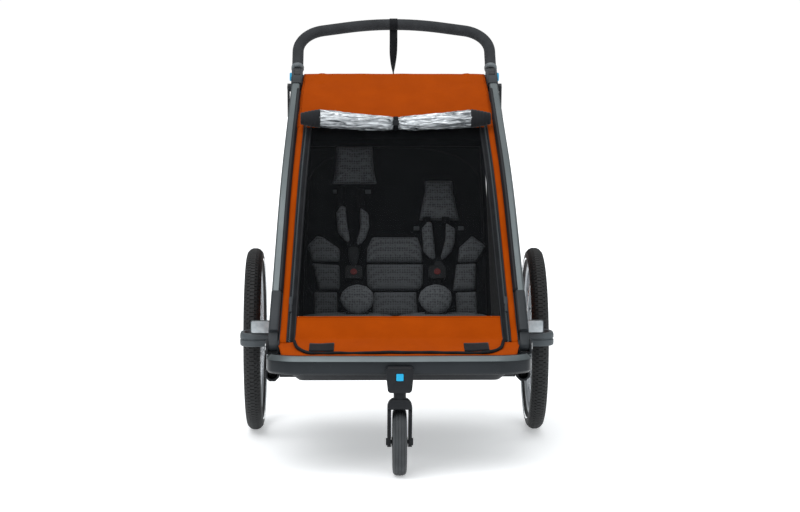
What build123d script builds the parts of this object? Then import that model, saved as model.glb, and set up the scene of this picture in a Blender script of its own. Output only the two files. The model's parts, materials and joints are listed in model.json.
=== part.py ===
"""Two-seat child bicycle trailer in strolling mode: frame, folding side frames, wheels and soft parts.

Frame: +X to the object's right, +Y to the rear, +Z up, origin on the ground under the middle of its box.
The side frames turn down about the two pivots at the front corners; everything on them follows.
"""

import os
from math import atan2, cos, degrees, radians, sin, tan

from build123d import *

os.makedirs("parts", exist_ok=True)

# ---- driving dimensions (mm, degrees) ----
AXLE_Y = 262.5            # rear axle
AXLE_Z = 248              # wheel radius, so the tyres stand on z = 0
WHEEL_X = 380             # middle of each rear wheel
TYRE_R = 22.5             # half the tyre's width
RIM_R = 210               # outside of the rim
CASTER_R = 82             # front wheel radius
CASTER_Y = AXLE_Y - 700   # front wheel axle
SWIVEL_Y = CASTER_Y - 35  # vertical swivel axis, 35 mm of trail

PIVOT_Y, PIVOT_Z = -345, 303          # fold pivots at the front corners
HINGE_Y, HINGE_Z = AXLE_Y + 95, 960   # handlebar hinges
LOWER_ANGLE, UPPER_ANGLE = 51, 35     # slope of the side frame below and above its bend
BEND_R = 900
TAPER = 2.55                          # each side frame leans inwards by this much
SLOPE = tan(radians(TAPER))
PILLAR_X = 309                        # middle of the side frame at the pivot
PILLAR_W, PILLAR_D = 24, 46
FOOT_START, FOOT_TOP = 34, 149        # the plastic foot's ends, along the pillar from the pivot
CAP_LENGTH = 62                       # handle hinge to the end of the pillar tube
SEAT_Y, SEAT_Z = 232.5, 295.2         # rear seat tube, which the seat back turns on
SEAT_ANGLE = 72
HANDLE_ANGLE = 45
HANDLE_LENGTH = 210.4
BRACE_Y, BRACE_Z = 424, 300           # lower end of the folding braces
BRACE_LOWER = 250
RAIL_Z0, RAIL_Z1 = 250, 286
REAR_Y = 412                          # rear end of the side rails
PIN_R, RUNNING = 5, 0.06              # pivot pins and their radial running clearance

# ---- shapes that follow from them ----
LOWER = Vector(0, cos(radians(LOWER_ANGLE)), sin(radians(LOWER_ANGLE)))
UPPER = Vector(0, cos(radians(UPPER_ANGLE)), sin(radians(UPPER_ANGLE)))
PIVOT = Vector(0, PIVOT_Y, PIVOT_Z)
HINGE = Vector(0, HINGE_Y, HINGE_Z)
SPAN = HINGE - PIVOT
BEND_T = (SPAN.Y * UPPER.Z - SPAN.Z * UPPER.Y) / (LOWER.Y * UPPER.Z - LOWER.Z * UPPER.Y)
BEND = PIVOT + LOWER * BEND_T
CHORD = atan2(SPAN.Z, SPAN.Y)
HINGE_X = PILLAR_X - SPAN.length * SLOPE
BRACE_TOP = HINGE - UPPER * 50
SIDES = {"right": 1, "left": -1}


def side_plane(x_at_pivot):
    """Plane of a right side frame: local x runs up the chord, local y points to the front and up."""
    lean = radians(TAPER)
    run = Vector(-sin(lean), cos(lean) * cos(CHORD), cos(lean) * sin(CHORD))
    out = Vector(cos(lean), sin(lean) * cos(CHORD), sin(lean) * sin(CHORD))
    return Plane(origin=(x_at_pivot, PIVOT_Y, PIVOT_Z), x_dir=run, z_dir=out)


def on_chord(point):
    """A point of the side view in the local x and y of side_plane."""
    away = point - PIVOT
    u = (away.Y * cos(CHORD) + away.Z * sin(CHORD)) / cos(radians(TAPER))
    return (u, -away.Y * sin(CHORD) + away.Z * cos(CHORD))


def rail_x(y):
    """Middle of the side rail at y."""
    return PILLAR_X - SLOPE * (y - PIVOT_Y)


def yz(x):
    """Plane across the trailer at x, with local x to the rear and local y up."""
    return Plane(origin=(x, 0, 0), x_dir=(0, 1, 0), z_dir=(1, 0, 0))


def profile_point(t):
    """A point of the side frame's centre line, t along its two straight runs from the pivot."""
    if t <= BEND_T:
        return PIVOT + LOWER * t
    return BEND + UPPER * (t - BEND_T)


# ======================= base frame =======================
with BuildPart() as front_bumper:
    with BuildLine(Plane.XY.offset(268)) as bumper_path:
        FilletPolyline((-310.5, -385), (-310.5, -400), (-270, -434), (0, -441),
                       (270, -434), (310.5, -400), (310.5, -385), radius=[30, 90, 1500, 90, 30])
    bumper_wire = bumper_path.wires()[0]
    with BuildSketch(Plane(origin=bumper_wire @ 0, x_dir=(1, 0, 0), z_dir=bumper_wire % 0)):
        with BuildLine():
            Polyline((-12.5, -16), (-7, -22), (12.5, -22), (12.5, 23), (-1, 23), (-12.5, 11), close=True)
        make_face()
        offset(amount=-3, mode=Mode.SUBTRACT)
    sweep(path=bumper_wire)
front_bumper.part.label = "front_bumper"
export_step(front_bumper.part, "parts/front_bumper.step")

for side, sign in SIDES.items():
    with BuildPart() as side_rail:
        for wall, low, high, mode in ((0, RAIL_Z0, RAIL_Z1, Mode.ADD), (2.5, 252.5, 283.5, Mode.SUBTRACT)):
            over = 5 if wall else 0
            with BuildSketch(Plane.XY.offset(low)):
                with BuildLine():
                    Polyline(*[(sign * (rail_x(y) + half), y + end) for y, half, end in (
                        (-385, -12 + wall, -over), (-385, 12 - wall, -over),
                        (REAR_Y, 12 - wall, over), (REAR_Y, -12 + wall, over))], close=True)
                make_face()
            extrude(amount=high - low, mode=mode)
    side_rail.part.label = f"side_rail_{side}"
    export_step(side_rail.part, f"parts/side_rail_{side}.step")

REAR_X = rail_x(REAR_Y) + 12
with BuildPart() as rear_crossbar:
    with BuildSketch(yz(-REAR_X)):
        with Locations((REAR_Y + 12.2, 268)):
            RectangleRounded(24, 36, 4)
            RectangleRounded(19, 31, 2, mode=Mode.SUBTRACT)
    extrude(amount=2 * REAR_X)
    for sign in SIDES.values():
        with BuildSketch(yz(sign * REAR_X)):
            with Locations((BRACE_Y, (RAIL_Z0 + 312) / 2)):
                RectangleRounded(24, 312 - RAIL_Z0, 6)
        extrude(amount=sign * (290.5 - REAR_X))
        with BuildSketch(yz(sign * 290.5)):
            with Locations((BRACE_Y, BRACE_Z)):
                Circle(9)
        extrude(amount=sign * 2.6)
        with BuildSketch(yz(sign * 293.1)):
            with Locations((BRACE_Y, BRACE_Z)):
                Circle(PIN_R)
        extrude(amount=sign * 7.5)
rear_crossbar.part.label = "rear_crossbar"
export_step(rear_crossbar.part, "parts/rear_crossbar.step")

with BuildPart() as seat_tubes:
    for tube_y in (27, SEAT_Y):
        half = rail_x(tube_y) + 10
        with BuildSketch(yz(-half)):
            with Locations((tube_y, SEAT_Z)):
                Circle(9)
                Circle(7, mode=Mode.SUBTRACT)
        extrude(amount=2 * half)
seat_tubes.part.label = "seat_tubes"
export_step(seat_tubes.part, "parts/seat_tubes.step")

TRAY_Y0, TRAY_Y1, TRAY_Z0 = -415, 405, 222
with BuildPart() as floor_tray:
    with BuildSketch(Plane.XY.offset(TRAY_Z0)):
        with BuildLine():
            Polyline(*[(s * (rail_x(y) - 16), y) for s, y in
                       ((-1, TRAY_Y0), (1, TRAY_Y0), (1, TRAY_Y1), (-1, TRAY_Y1))], close=True)
        make_face()
    extrude(amount=RAIL_Z1 - TRAY_Z0)
    fillet(floor_tray.edges().filter_by(Axis.Z), radius=64)
    underside = floor_tray.faces().sort_by(Axis.Z)[0]
    chamfer(underside.edges(), length=48, length2=36, reference=underside)
    offset(amount=-3, openings=floor_tray.faces().sort_by(Axis.Z)[-1])
floor_tray.part.label = "floor_tray"
export_step(floor_tray.part, "parts/floor_tray.step")

RECEIVER_Y, RECEIVER_Z, RECEIVER_X = -177.5, 214, 317
HITCH_R, HITCH_DEPTH = 12.75, 42
with BuildPart() as receiver_tube:
    with BuildSketch(yz(-299)):
        with Locations((RECEIVER_Y + 12, 211)):
            Circle(9)
            Circle(7, mode=Mode.SUBTRACT)
    extrude(amount=2 * 299)
    with BuildSketch(Plane.XY.offset(210)):
        with Locations((-294, RECEIVER_Y + 12), (294, RECEIVER_Y + 12)):
            Rectangle(8, 30)
    extrude(amount=RAIL_Z0 - 210.2)
receiver_tube.part.label = "receiver_tube"
export_step(receiver_tube.part, "parts/receiver_tube.step")

with BuildPart() as receivers:
    for sign in SIDES.values():
        front = Plane(origin=(sign * RECEIVER_X, RECEIVER_Y - 25, RECEIVER_Z), x_dir=(1, 0, 0), z_dir=(0, 1, 0))
        with BuildSketch(front):
            RegularPolygon(radius=18, side_count=8, major_radius=False, rotation=22.5)
        extrude(amount=52)
        with BuildSketch(front):
            Circle(HITCH_R)
        extrude(amount=HITCH_DEPTH, mode=Mode.SUBTRACT)
    chamfer(receivers.faces().sort_by(Axis.Y)[:2].edges().filter_by(GeomType.LINE), length=2)
receivers.part.label = "receivers"
export_step(receivers.part, "parts/receivers.step")

EAR_IN, EAR_OUT = 11.6, 16.5      # the bracket's ears, from the middle of the pillar's foot
with BuildPart() as pivot_brackets:
    for sign in SIDES.values():
        with BuildSketch(yz(sign * (PILLAR_X - EAR_OUT))):
            with Locations((PIVOT_Y, RAIL_Z1 + 12)):
                Rectangle(38, 23.6)
            with Locations((PIVOT_Y, PIVOT_Z + 1)):
                SlotOverall(38, 32)
        extrude(amount=sign * 2 * EAR_OUT)
        with BuildSketch(yz(sign * (PILLAR_X - EAR_IN))):
            with Locations((PIVOT_Y, PIVOT_Z + 8)):
                Rectangle(60, 2 * (PIVOT_Z + 8 - RAIL_Z1 - 3.2))
        extrude(amount=sign * 2 * EAR_IN, mode=Mode.SUBTRACT)
        with BuildSketch(yz(sign * (PILLAR_X - 20))):
            with Locations((PIVOT_Y, PIVOT_Z)):
                Circle(PIN_R + 0.02)
        extrude(amount=sign * 40, mode=Mode.SUBTRACT)
pivot_brackets.part.label = "pivot_brackets"
export_step(pivot_brackets.part, "parts/pivot_brackets.step")

with BuildPart() as pivot_pins:
    for sign in SIDES.values():
        for start, length, radius in ((-EAR_OUT - 2.6, 2.5, 8), (-EAR_OUT - 0.1, 33.2, PIN_R),
                                      (EAR_OUT + 0.1, 2.5, 8)):
            with BuildSketch(yz(sign * (PILLAR_X + start))):
                with Locations((PIVOT_Y, PIVOT_Z)):
                    Circle(radius)
            extrude(amount=sign * length)
pivot_pins.part.label = "pivot_pins"
export_step(pivot_pins.part, "parts/pivot_pins.step")

ARM_Y, ARM_Z = AXLE_Y - 130, 232
with BuildPart() as suspension_mounts:
    for sign in SIDES.values():
        with BuildSketch(yz(sign * 279)):
            with Locations((ARM_Y, (213 + 249.8) / 2)):
                RectangleRounded(42, 249.8 - 213, 6)
        extrude(amount=sign * 22.5)
        for start, length, radius in ((301.5, 1.2, 14), (302.7, 23, 6), (325.4, 3, 11)):
            with BuildSketch(yz(sign * start)):
                with Locations((ARM_Y, ARM_Z)):
                    Circle(radius)
            extrude(amount=sign * length)
        with BuildSketch(yz(sign * 299.8)):
            with Locations((ARM_Y + 72, 279)):
                RectangleRounded(30, 10, 3)
        extrude(amount=sign * 25)
suspension_mounts.part.label = "suspension_mounts"
export_step(suspension_mounts.part, "parts/suspension_mounts.step")

with BuildPart() as wheel_guards:
    for sign in SIDES.values():
        with BuildLine(Plane.XY.offset(290)) as guard_path:
            FilletPolyline((sign * 314, -103), (sign * 397, -118), (sign * 397, -22), (sign * 314, -22),
                           radius=30)
        guard_wire = guard_path.wires()[0]
        with BuildSketch(Plane(origin=guard_wire @ 0, x_dir=(0, 0, 1), z_dir=guard_wire % 0)):
            RectangleRounded(34, 14, 6)
        sweep(path=guard_wire)
        with BuildSketch(Plane.XY.offset(266)):
            with BuildLine():
                Polyline((sign * (rail_x(-128) + 12.3), -128), (sign * 318, -128), (sign * 318, -4),
                         (sign * (rail_x(-4) + 12.3), -4), close=True)
            make_face()
        extrude(amount=42)
wheel_guards.part.label = "wheel_guards"
export_step(wheel_guards.part, "parts/wheel_guards.step")

with BuildPart() as front_reflectors:
    for sign in SIDES.values():
        with BuildSketch(Plane(origin=(sign * 350, -113, 324.6), x_dir=(1, 0, 0), z_dir=(0, -1, 0))):
            RectangleRounded(50, 34, 5)
        extrude(amount=6)
front_reflectors.part.label = "front_reflectors"
export_step(front_reflectors.part, "parts/front_reflectors.step")

# ======================= front wheel =======================
PLATE_Y = -453.9
with BuildPart() as front_wheel_mount:
    with BuildSketch(Plane(origin=(0, PLATE_Y, 0), x_dir=(1, 0, 0), z_dir=(0, -1, 0))):
        with BuildLine():
            FilletPolyline((-35, 269), (35, 269), (28.5, 209), (-28.5, 209), radius=9, close=True)
        make_face()
    extrude(amount=41)
    with BuildSketch(Plane.XY.offset(209)):
        with Locations((0, SWIVEL_Y)):
            Circle(8 + RUNNING)
    extrude(amount=29, mode=Mode.SUBTRACT)
    with BuildSketch(Plane(origin=(0, PLATE_Y - 41, 247), x_dir=(1, 0, 0), z_dir=(0, 1, 0))):
        RectangleRounded(17.6, 17.6, 2.3)
    extrude(amount=7, mode=Mode.SUBTRACT)
front_wheel_mount.part.label = "front_wheel_mount"
export_step(front_wheel_mount.part, "parts/front_wheel_mount.step")

with BuildPart() as mount_button:
    with BuildSketch(Plane(origin=(0, PLATE_Y - 42.5, 247), x_dir=(1, 0, 0), z_dir=(0, 1, 0))):
        RectangleRounded(17, 17, 2)
    extrude(amount=5)
mount_button.part.label = "mount_button"
export_step(mount_button.part, "parts/mount_button.step")

with BuildPart() as caster_fork:
    with BuildSketch(Plane(origin=(0, SWIVEL_Y - 20, 0), x_dir=(1, 0, 0), z_dir=(0, -1, 0))):
        with BuildLine():
            FilletPolyline((-29.8, 167), (-29.8, 194), (29.8, 194), (29.8, 167), radius=22)
            Line((29.8, 167), (-29.8, 167))
        make_face()
    extrude(amount=-40)
    with BuildSketch(yz(-29.8)):
        with Locations((SWIVEL_Y + 1, 180.5)):
            RectangleRounded(38, 27, 7)
    extrude(amount=59.6, mode=Mode.INTERSECT)
    for sign in SIDES.values():
        with BuildSketch(yz(sign * 20.8)):
            with Locations((SWIVEL_Y + 2, 159)):
                Circle(15)
            with Locations((CASTER_Y, CASTER_R)):
                Circle(13)
            make_hull()
        extrude(amount=sign * 9)
    with BuildSketch(Plane.XY.offset(190)):
        with Locations((0, SWIVEL_Y)):
            Circle(15)
    extrude(amount=18.7)
    with BuildSketch(Plane.XY.offset(208)):
        with Locations((0, SWIVEL_Y)):
            Circle(8)
    extrude(amount=27)
    for start, length, radius in ((-33, 3.4, 9), (-30, 60, PIN_R), (29.6, 3.4, 9)):
        with BuildSketch(yz(start)):
            with Locations((CASTER_Y, CASTER_R)):
                Circle(radius)
        extrude(amount=length)
caster_fork.part.label = "caster_fork"
export_step(caster_fork.part, "parts/caster_fork.step")

with BuildPart() as caster_tyre:
    with BuildSketch(Plane.XZ):
        with Locations((CASTER_R - 17, 0)):
            Ellipse(17, 17.5)
            Circle(11, mode=Mode.SUBTRACT)
        with Locations((44, 0)):
            Rectangle(30, 60, mode=Mode.SUBTRACT)
    revolve(axis=Axis.Z)
caster_tyre.part = caster_tyre.part.rotate(Axis.Y, 90).moved(Location((0, CASTER_Y, CASTER_R)))
caster_tyre.part.label = "caster_tyre"
export_step(caster_tyre.part, "parts/caster_tyre.step")

with BuildPart() as caster_rim:
    with BuildSketch(Plane.XY.offset(-9)):
        Circle(60)
        Circle(52, mode=Mode.SUBTRACT)
        Circle(14)
        with PolarLocations(33, 5):
            Rectangle(42, 12)
    extrude(amount=18)
    with BuildSketch(Plane.XY.offset(-19.5)):
        Circle(12)
    extrude(amount=39)
    with BuildSketch(Plane.XY.offset(-30)):
        Circle(PIN_R + RUNNING)
    extrude(amount=60, mode=Mode.SUBTRACT)
caster_rim.part = caster_rim.part.rotate(Axis.Y, 90).moved(Location((0, CASTER_Y, CASTER_R)))
caster_rim.part.label = "caster_rim"
export_step(caster_rim.part, "parts/caster_rim.step")

# ======================= rear suspension, brake and wheels =======================
for side, sign in SIDES.items():
    with BuildPart() as suspension_arm:
        with BuildSketch(yz(sign * 303)):
            with Locations((ARM_Y, ARM_Z)):
                Circle(19)
            with Locations((AXLE_Y, AXLE_Z)):
                Circle(24)
            make_hull()
            with Locations((ARM_Y, ARM_Z)):
                Circle(6 + RUNNING, mode=Mode.SUBTRACT)
        extrude(amount=sign * 22)
        with BuildSketch(yz(sign * 325)):
            with Locations((AXLE_Y, AXLE_Z)):
                Circle(6)
        extrude(amount=sign * 80)
        with BuildSketch(yz(sign * 325)):
            with Locations((AXLE_Y, AXLE_Z)):
                Circle(15)
        extrude(amount=sign * 6)
    suspension_arm.part.label = f"suspension_arm_{side}"
    export_step(suspension_arm.part, f"parts/suspension_arm_{side}.step")

BRAKE_Y, BRAKE_Z = AXLE_Y - 56, 203
with BuildPart() as brake_pedal:
    with BuildSketch(yz(-338)):
        with Locations((BRAKE_Y, BRAKE_Z)):
            Circle(7)
    extrude(amount=676)
    for sign in SIDES.values():
        with BuildSketch(yz(sign * 332)):
            with Locations((BRAKE_Y, BRAKE_Z)):
                Circle(9)
            with Locations((BRAKE_Y, AXLE_Z)):
                Circle(5)
            make_hull()
        extrude(amount=sign * 7)
    with BuildSketch(yz(100)):
        with Locations((BRAKE_Y, BRAKE_Z)):
            Circle(9)
        with Locations((440, 208)):
            Circle(7)
        make_hull()
    extrude(amount=14)
    with BuildSketch(Plane.XY.offset(203)):
        with Locations((107, 452)):
            RectangleRounded(66, 42, 8)
    extrude(amount=12)
brake_pedal.part.label = "brake_pedal"
export_step(brake_pedal.part, "parts/brake_pedal.step")

HUB_FLANGE_X, FLANGE_R = 24, 21
SPOKE_COUNT, SPOKE_LEAD, SPOKE_R = 20, 55, 1          # spokes leave the flange nearly tangentially
with BuildPart() as tyre_shape:
    with BuildSketch(Plane.XZ):
        with Locations((AXLE_Z - TYRE_R, 0)):
            Circle(TYRE_R)
            Circle(TYRE_R - 4, mode=Mode.SUBTRACT)
        with Locations((RIM_R - 19, 0)):
            Rectangle(40, 60, mode=Mode.SUBTRACT)
    revolve(axis=Axis.Z)
with BuildPart() as rim_shape:
    with BuildSketch(Plane.XZ):
        with Locations((RIM_R - 9, 0)):
            RectangleRounded(18, 27, 3)
        with Locations((RIM_R - 3, 0)):
            Rectangle(14, 21, mode=Mode.SUBTRACT)
    revolve(axis=Axis.Z)
with BuildPart() as hub_shape:
    with BuildSketch(Plane.XZ):
        with BuildLine():
            Polyline((0, -36), (13, -36), (13, -26), (24, -26), (24, -21.5), (14, -18), (14, 18), (24, 21.5),
                     (24, 26), (13, 26), (13, 29), (0, 29), close=True)
        make_face()
    revolve(axis=Axis.Z)
    with BuildSketch(Plane.XY.offset(-40)):
        Circle(44)
        with PolarLocations(44, 20):
            Rectangle(9, 7, mode=Mode.SUBTRACT)
    extrude(amount=4)
    with BuildSketch(Plane.XY.offset(-60)):
        Circle(6 + RUNNING)
    extrude(amount=85, mode=Mode.SUBTRACT)
with BuildPart() as spoke_shape:
    for index in range(SPOKE_COUNT):
        face = 1 if index % 2 else -1
        turn = 1 if index % 4 < 2 else -1
        at = 360 * index / SPOKE_COUNT
        inner = Vector(FLANGE_R, 0, face * HUB_FLANGE_X + turn * 1.7).rotate(Axis.Z, at + turn * SPOKE_LEAD)
        outer = Vector(RIM_R - 17, 0, face * 4 + turn * 1.2).rotate(Axis.Z, at)
        with BuildSketch(Plane(origin=inner, z_dir=outer - inner)):
            Circle(SPOKE_R)
        extrude(amount=(outer - inner).length)
for side, sign in SIDES.items():
    outward = Location((sign * WHEEL_X, AXLE_Y, AXLE_Z), (0, sign * 90, 0))
    for kind, shape in (("tyre", tyre_shape), ("rim", rim_shape), ("hub", hub_shape), ("spokes", spoke_shape)):
        with BuildPart() as wheel_part:
            add(shape.part.moved(outward))
        wheel_part.part.label = f"{kind}_{side}"
        export_step(wheel_part.part, f"parts/{kind}_{side}.step")

# ======================= seat base and side walls =======================
with BuildPart() as seat_pan:
    with BuildSketch(Plane.XY.offset(304.4)):
        with BuildLine():
            Polyline((-274, 18), (274, 18), (266, 222), (-266, 222), close=True)
        make_face()
    extrude(amount=4)
seat_pan.part.label = "seat_pan"
export_step(seat_pan.part, "parts/seat_pan.step")

with BuildPart() as seat_cushion:
    with BuildSketch(Plane.XY.offset(308.6)):
        with Locations((0, 110)):
            RectangleRounded(512, 180, 24)
    extrude(amount=22)
    fillet(seat_cushion.faces().sort_by(Axis.Z)[-1].edges(), radius=9)
seat_cushion.part.label = "seat_cushion"
export_step(seat_cushion.part, "parts/seat_cushion.step")

CROTCH_X = 104
lean_back = Plane(origin=(0, 112, 373), x_dir=(1, 0, 0), z_dir=(0, -cos(radians(20)), sin(radians(20))))
with BuildPart() as crotch_pads:
    with BuildSketch(lean_back):
        with GridLocations(2 * CROTCH_X, 0, 2, 1):
            Ellipse(46, 35)
    extrude(amount=10, both=True)
    fillet(crotch_pads.edges(), radius=8)
crotch_pads.part.label = "crotch_pads"
export_step(crotch_pads.part, "parts/crotch_pads.step")

BUCKLE_X = 112
buckle_plane = Plane(origin=(0, 172, 432), x_dir=(1, 0, 0), z_dir=(0, -cos(radians(35)), sin(radians(35))))
with BuildPart() as harness_buckles:
    with BuildSketch(buckle_plane):
        with GridLocations(2 * BUCKLE_X, 0, 2, 1):
            RectangleRounded(46, 40, 10)
    extrude(amount=15)
    with BuildSketch(buckle_plane.offset(11)):
        with GridLocations(2 * BUCKLE_X, 0, 2, 1):
            Circle(9.4)
    extrude(amount=5, mode=Mode.SUBTRACT)
harness_buckles.part.label = "harness_buckles"
export_step(harness_buckles.part, "parts/harness_buckles.step")

for side, sign in SIDES.items():
    with BuildPart() as buckle_button:
        with BuildSketch(buckle_plane.offset(13.2)):
            with Locations((sign * BUCKLE_X, 0)):
                Circle(9)
        extrude(amount=3)
    buckle_button.part.label = f"buckle_button_{side}"
    export_step(buckle_button.part, f"parts/buckle_button_{side}.step")

PANEL_X, PANEL_T = PILLAR_X - 13.5, 2.5
PANEL_R0, PANEL_R1 = 30, 868
radial = Plane(origin=(0, PIVOT_Y, PIVOT_Z), x_dir=(1, 0, 0), z_dir=(0, 0, 1))
with BuildPart() as side_panel_right:
    with BuildSketch(radial):
        with BuildLine():
            Polyline(*[(PANEL_X - t - SLOPE * r, r) for t, r in
                       ((0, PANEL_R0), (PANEL_T, PANEL_R0), (PANEL_T, PANEL_R1), (0, PANEL_R1))], close=True)
        make_face()
    revolve(axis=Axis((0, PIVOT_Y, PIVOT_Z), (1, 0, 0)), revolution_arc=LOWER_ANGLE)
    with BuildSketch(yz(0)):
        with BuildLine():
            Polyline((-300, 310), (395, 310), (380, 560), (330, 900), (200, 840), tuple(BEND)[1:], close=True)
        make_face()
    extrude(amount=400, mode=Mode.INTERSECT)
side_panel_right.part.label = "side_panel_right"
export_step(side_panel_right.part, "parts/side_panel_right.step")
with BuildPart() as side_panel_left:
    mirror(side_panel_right.part, about=Plane.YZ)
side_panel_left.part.label = "side_panel_left"
export_step(side_panel_left.part, "parts/side_panel_left.step")

# ======================= folding side frames =======================
frame_plane = side_plane(PILLAR_X)
with BuildPart() as pillar_right:
    with BuildLine(frame_plane) as pillar_path:
        FilletPolyline(on_chord(profile_point(FOOT_TOP + 0.2)), on_chord(BEND),
                       on_chord(HINGE - UPPER * CAP_LENGTH), radius=BEND_R)
    pillar_wire = pillar_path.wires()[0]
    with BuildSketch(Plane(origin=pillar_wire @ 0, x_dir=frame_plane.z_dir, z_dir=pillar_wire % 0)):
        RectangleRounded(PILLAR_W, PILLAR_D, 6)
        RectangleRounded(PILLAR_W - 5, PILLAR_D - 5, 4, mode=Mode.SUBTRACT)
    sweep(path=pillar_wire)
pillar_right.part.label = "pillar_right"
export_step(pillar_right.part, "parts/pillar_right.step")
with BuildPart() as pillar_left:
    mirror(pillar_right.part, about=Plane.YZ)
pillar_left.part.label = "pillar_left"
export_step(pillar_left.part, "parts/pillar_left.step")

with BuildPart() as pillar_feet:
    foot_run = pillar_wire % 0
    foot_start = pillar_wire @ 0 - foot_run * (FOOT_TOP - FOOT_START)
    with BuildSketch(Plane(origin=foot_start, x_dir=frame_plane.z_dir, z_dir=foot_run)):
        RectangleRounded(PILLAR_W + 1.6, PILLAR_D + 2, 7)
    extrude(amount=FOOT_TOP - FOOT_START)
    with BuildSketch(yz(PILLAR_X - 11.2)):
        with Locations((PIVOT_Y, PIVOT_Z)):
            Circle(12.8)
        with Locations(tuple(profile_point(42))[1:]):
            Circle(12.8)
        make_hull()
        with Locations((PIVOT_Y, PIVOT_Z)):
            Circle(PIN_R + RUNNING, mode=Mode.SUBTRACT)
    extrude(amount=22.4)
    mirror(about=Plane.YZ)
pillar_feet.part.label = "pillar_feet"
export_step(pillar_feet.part, "parts/pillar_feet.step")

CAP_IN, BOSS_IN, BOSS_OUT, CAP_OUT = 251.5, 257.9, 274.1, 281.2   # hinge layers across x
across_upper = Plane(origin=HINGE, x_dir=(1, 0, 0), z_dir=UPPER)
with BuildPart() as hinge_caps:
    with BuildSketch(across_upper.offset(-CAP_LENGTH + 1.2)):
        with Locations(((CAP_IN + CAP_OUT) / 2 + 1, 0)):
            RectangleRounded(CAP_OUT - CAP_IN, 49, 7)
    extrude(amount=CAP_LENGTH - 27)
    for inner, outer in ((CAP_IN, BOSS_IN - 0.4), (BOSS_OUT + 0.4, CAP_OUT)):
        with BuildSketch(yz(inner)):
            with Locations((HINGE_Y, HINGE_Z)):
                Circle(23)
            with Locations(tuple(HINGE - UPPER * 34)[1:]):
                Circle(23)
            make_hull()
        extrude(amount=outer - inner)
    with BuildSketch(yz(BOSS_OUT)):
        with Locations((HINGE_Y, HINGE_Z)):
            Circle(12)
    extrude(amount=CAP_OUT - BOSS_OUT + 1, mode=Mode.SUBTRACT)
    with BuildSketch(yz(BOSS_IN - 1)):
        with Locations((HINGE_Y, HINGE_Z)):
            Circle(PIN_R)
    extrude(amount=BOSS_OUT - BOSS_IN - 0.4)
    for start, end, radius in ((CAP_OUT, 286.1, 11), (286.1, 293, PIN_R)):
        with BuildSketch(yz(start)):
            with Locations(tuple(BRACE_TOP)[1:]):
                Circle(radius)
        extrude(amount=end - start)
    mirror(about=Plane.YZ)
hinge_caps.part.label = "hinge_caps"
export_step(hinge_caps.part, "parts/hinge_caps.step")

with BuildPart() as top_crossbar:
    with BuildSketch(yz(-CAP_IN + 0.2)):
        with Locations((HINGE_Y, HINGE_Z - 4)):
            Circle(10)
            Circle(8, mode=Mode.SUBTRACT)
    extrude(amount=2 * (CAP_IN - 0.2))
top_crossbar.part.label = "top_crossbar"
export_step(top_crossbar.part, "parts/top_crossbar.step")

# ======================= covers between the side frames =======================
COVER_X = PILLAR_X - 17.5          # half width of the covers at the pivot
COVER_V, COVER_T = 11, 2.4         # height of the covers over the centre line, and their thickness


def rise(angle):
    """Outward direction square to a run of the side frames at this angle."""
    return Vector(0, -sin(radians(angle)), cos(radians(angle)))


def cover_edge(start, end, lift):
    """Points in the side view that follow the side frames between two distances, lifted off their middle."""
    first = rise(LOWER_ANGLE if start < BEND_T else UPPER_ANGLE)
    last = rise(LOWER_ANGLE if end < BEND_T else UPPER_ANGLE)
    points = [profile_point(start) + first * lift, profile_point(end) + last * lift]
    if start < BEND_T < end:
        half_turn = radians(LOWER_ANGLE - UPPER_ANGLE) / 2
        points.insert(1, BEND + rise((LOWER_ANGLE + UPPER_ANGLE) / 2) * (lift / cos(half_turn)))
    return [(point.Y, point.Z) for point in points]


PANEL_END, WINDOW_END = 78, 728                     # distances along the profile
CANOPY_END = BEND_T + (HINGE - BEND).length + 6
between_frames = Plane(origin=PIVOT, x_dir=(1, 0, 0), z_dir=rise(degrees(CHORD)))
for name, start, end in (("front_panel", 12, PANEL_END), ("front_window", PANEL_END + 0.4, WINDOW_END),
                         ("canopy", WINDOW_END + 0.4, CANOPY_END)):
    with BuildPart() as cover:
        under = cover_edge(start, end, COVER_V)
        over = cover_edge(start, end, COVER_V + COVER_T)
        with BuildSketch(yz(-300)):
            with BuildLine():
                if len(under) == 3:
                    under_edge = FilletPolyline(*under, radius=BEND_R - COVER_V)
                    over_edge = FilletPolyline(*over, radius=BEND_R - COVER_V - COVER_T)
                    Line(under_edge @ 0, over_edge @ 0)
                    Line(under_edge @ 1, over_edge @ 1)
                else:
                    Polyline(*under, *reversed(over), close=True)
            make_face()
        extrude(amount=600)
        with BuildSketch(between_frames.offset(-200)):
            with BuildLine():
                Polyline(*[(s * (COVER_X - SLOPE * u), u) for s, u in
                           ((-1, -50), (1, -50), (1, 1050), (-1, 1050))], close=True)
            make_face()
        extrude(amount=400, mode=Mode.INTERSECT)
    cover.part.label = name
    export_step(cover.part, f"parts/{name}.step")

ROLL_T, ROLL_LIFT = 721, 42
roll_middle = profile_point(ROLL_T) + rise(UPPER_ANGLE) * ROLL_LIFT
with BuildPart() as rain_cover_roll:
    for sign in SIDES.values():
        for x, drop, radius in ((0, 15, 15), (110, 2, 21), (205, 0, 22), (252, 0, 13)):
            with BuildSketch(Plane(origin=(sign * x, roll_middle.Y, roll_middle.Z - drop), x_dir=(0, 1, 0),
                                   z_dir=(1, 0, 0))):
                Circle(radius)
        loft(ruled=True)
rain_cover_roll.part.label = "rain_cover_roll"
export_step(rain_cover_roll.part, "parts/rain_cover_roll.step")

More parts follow.
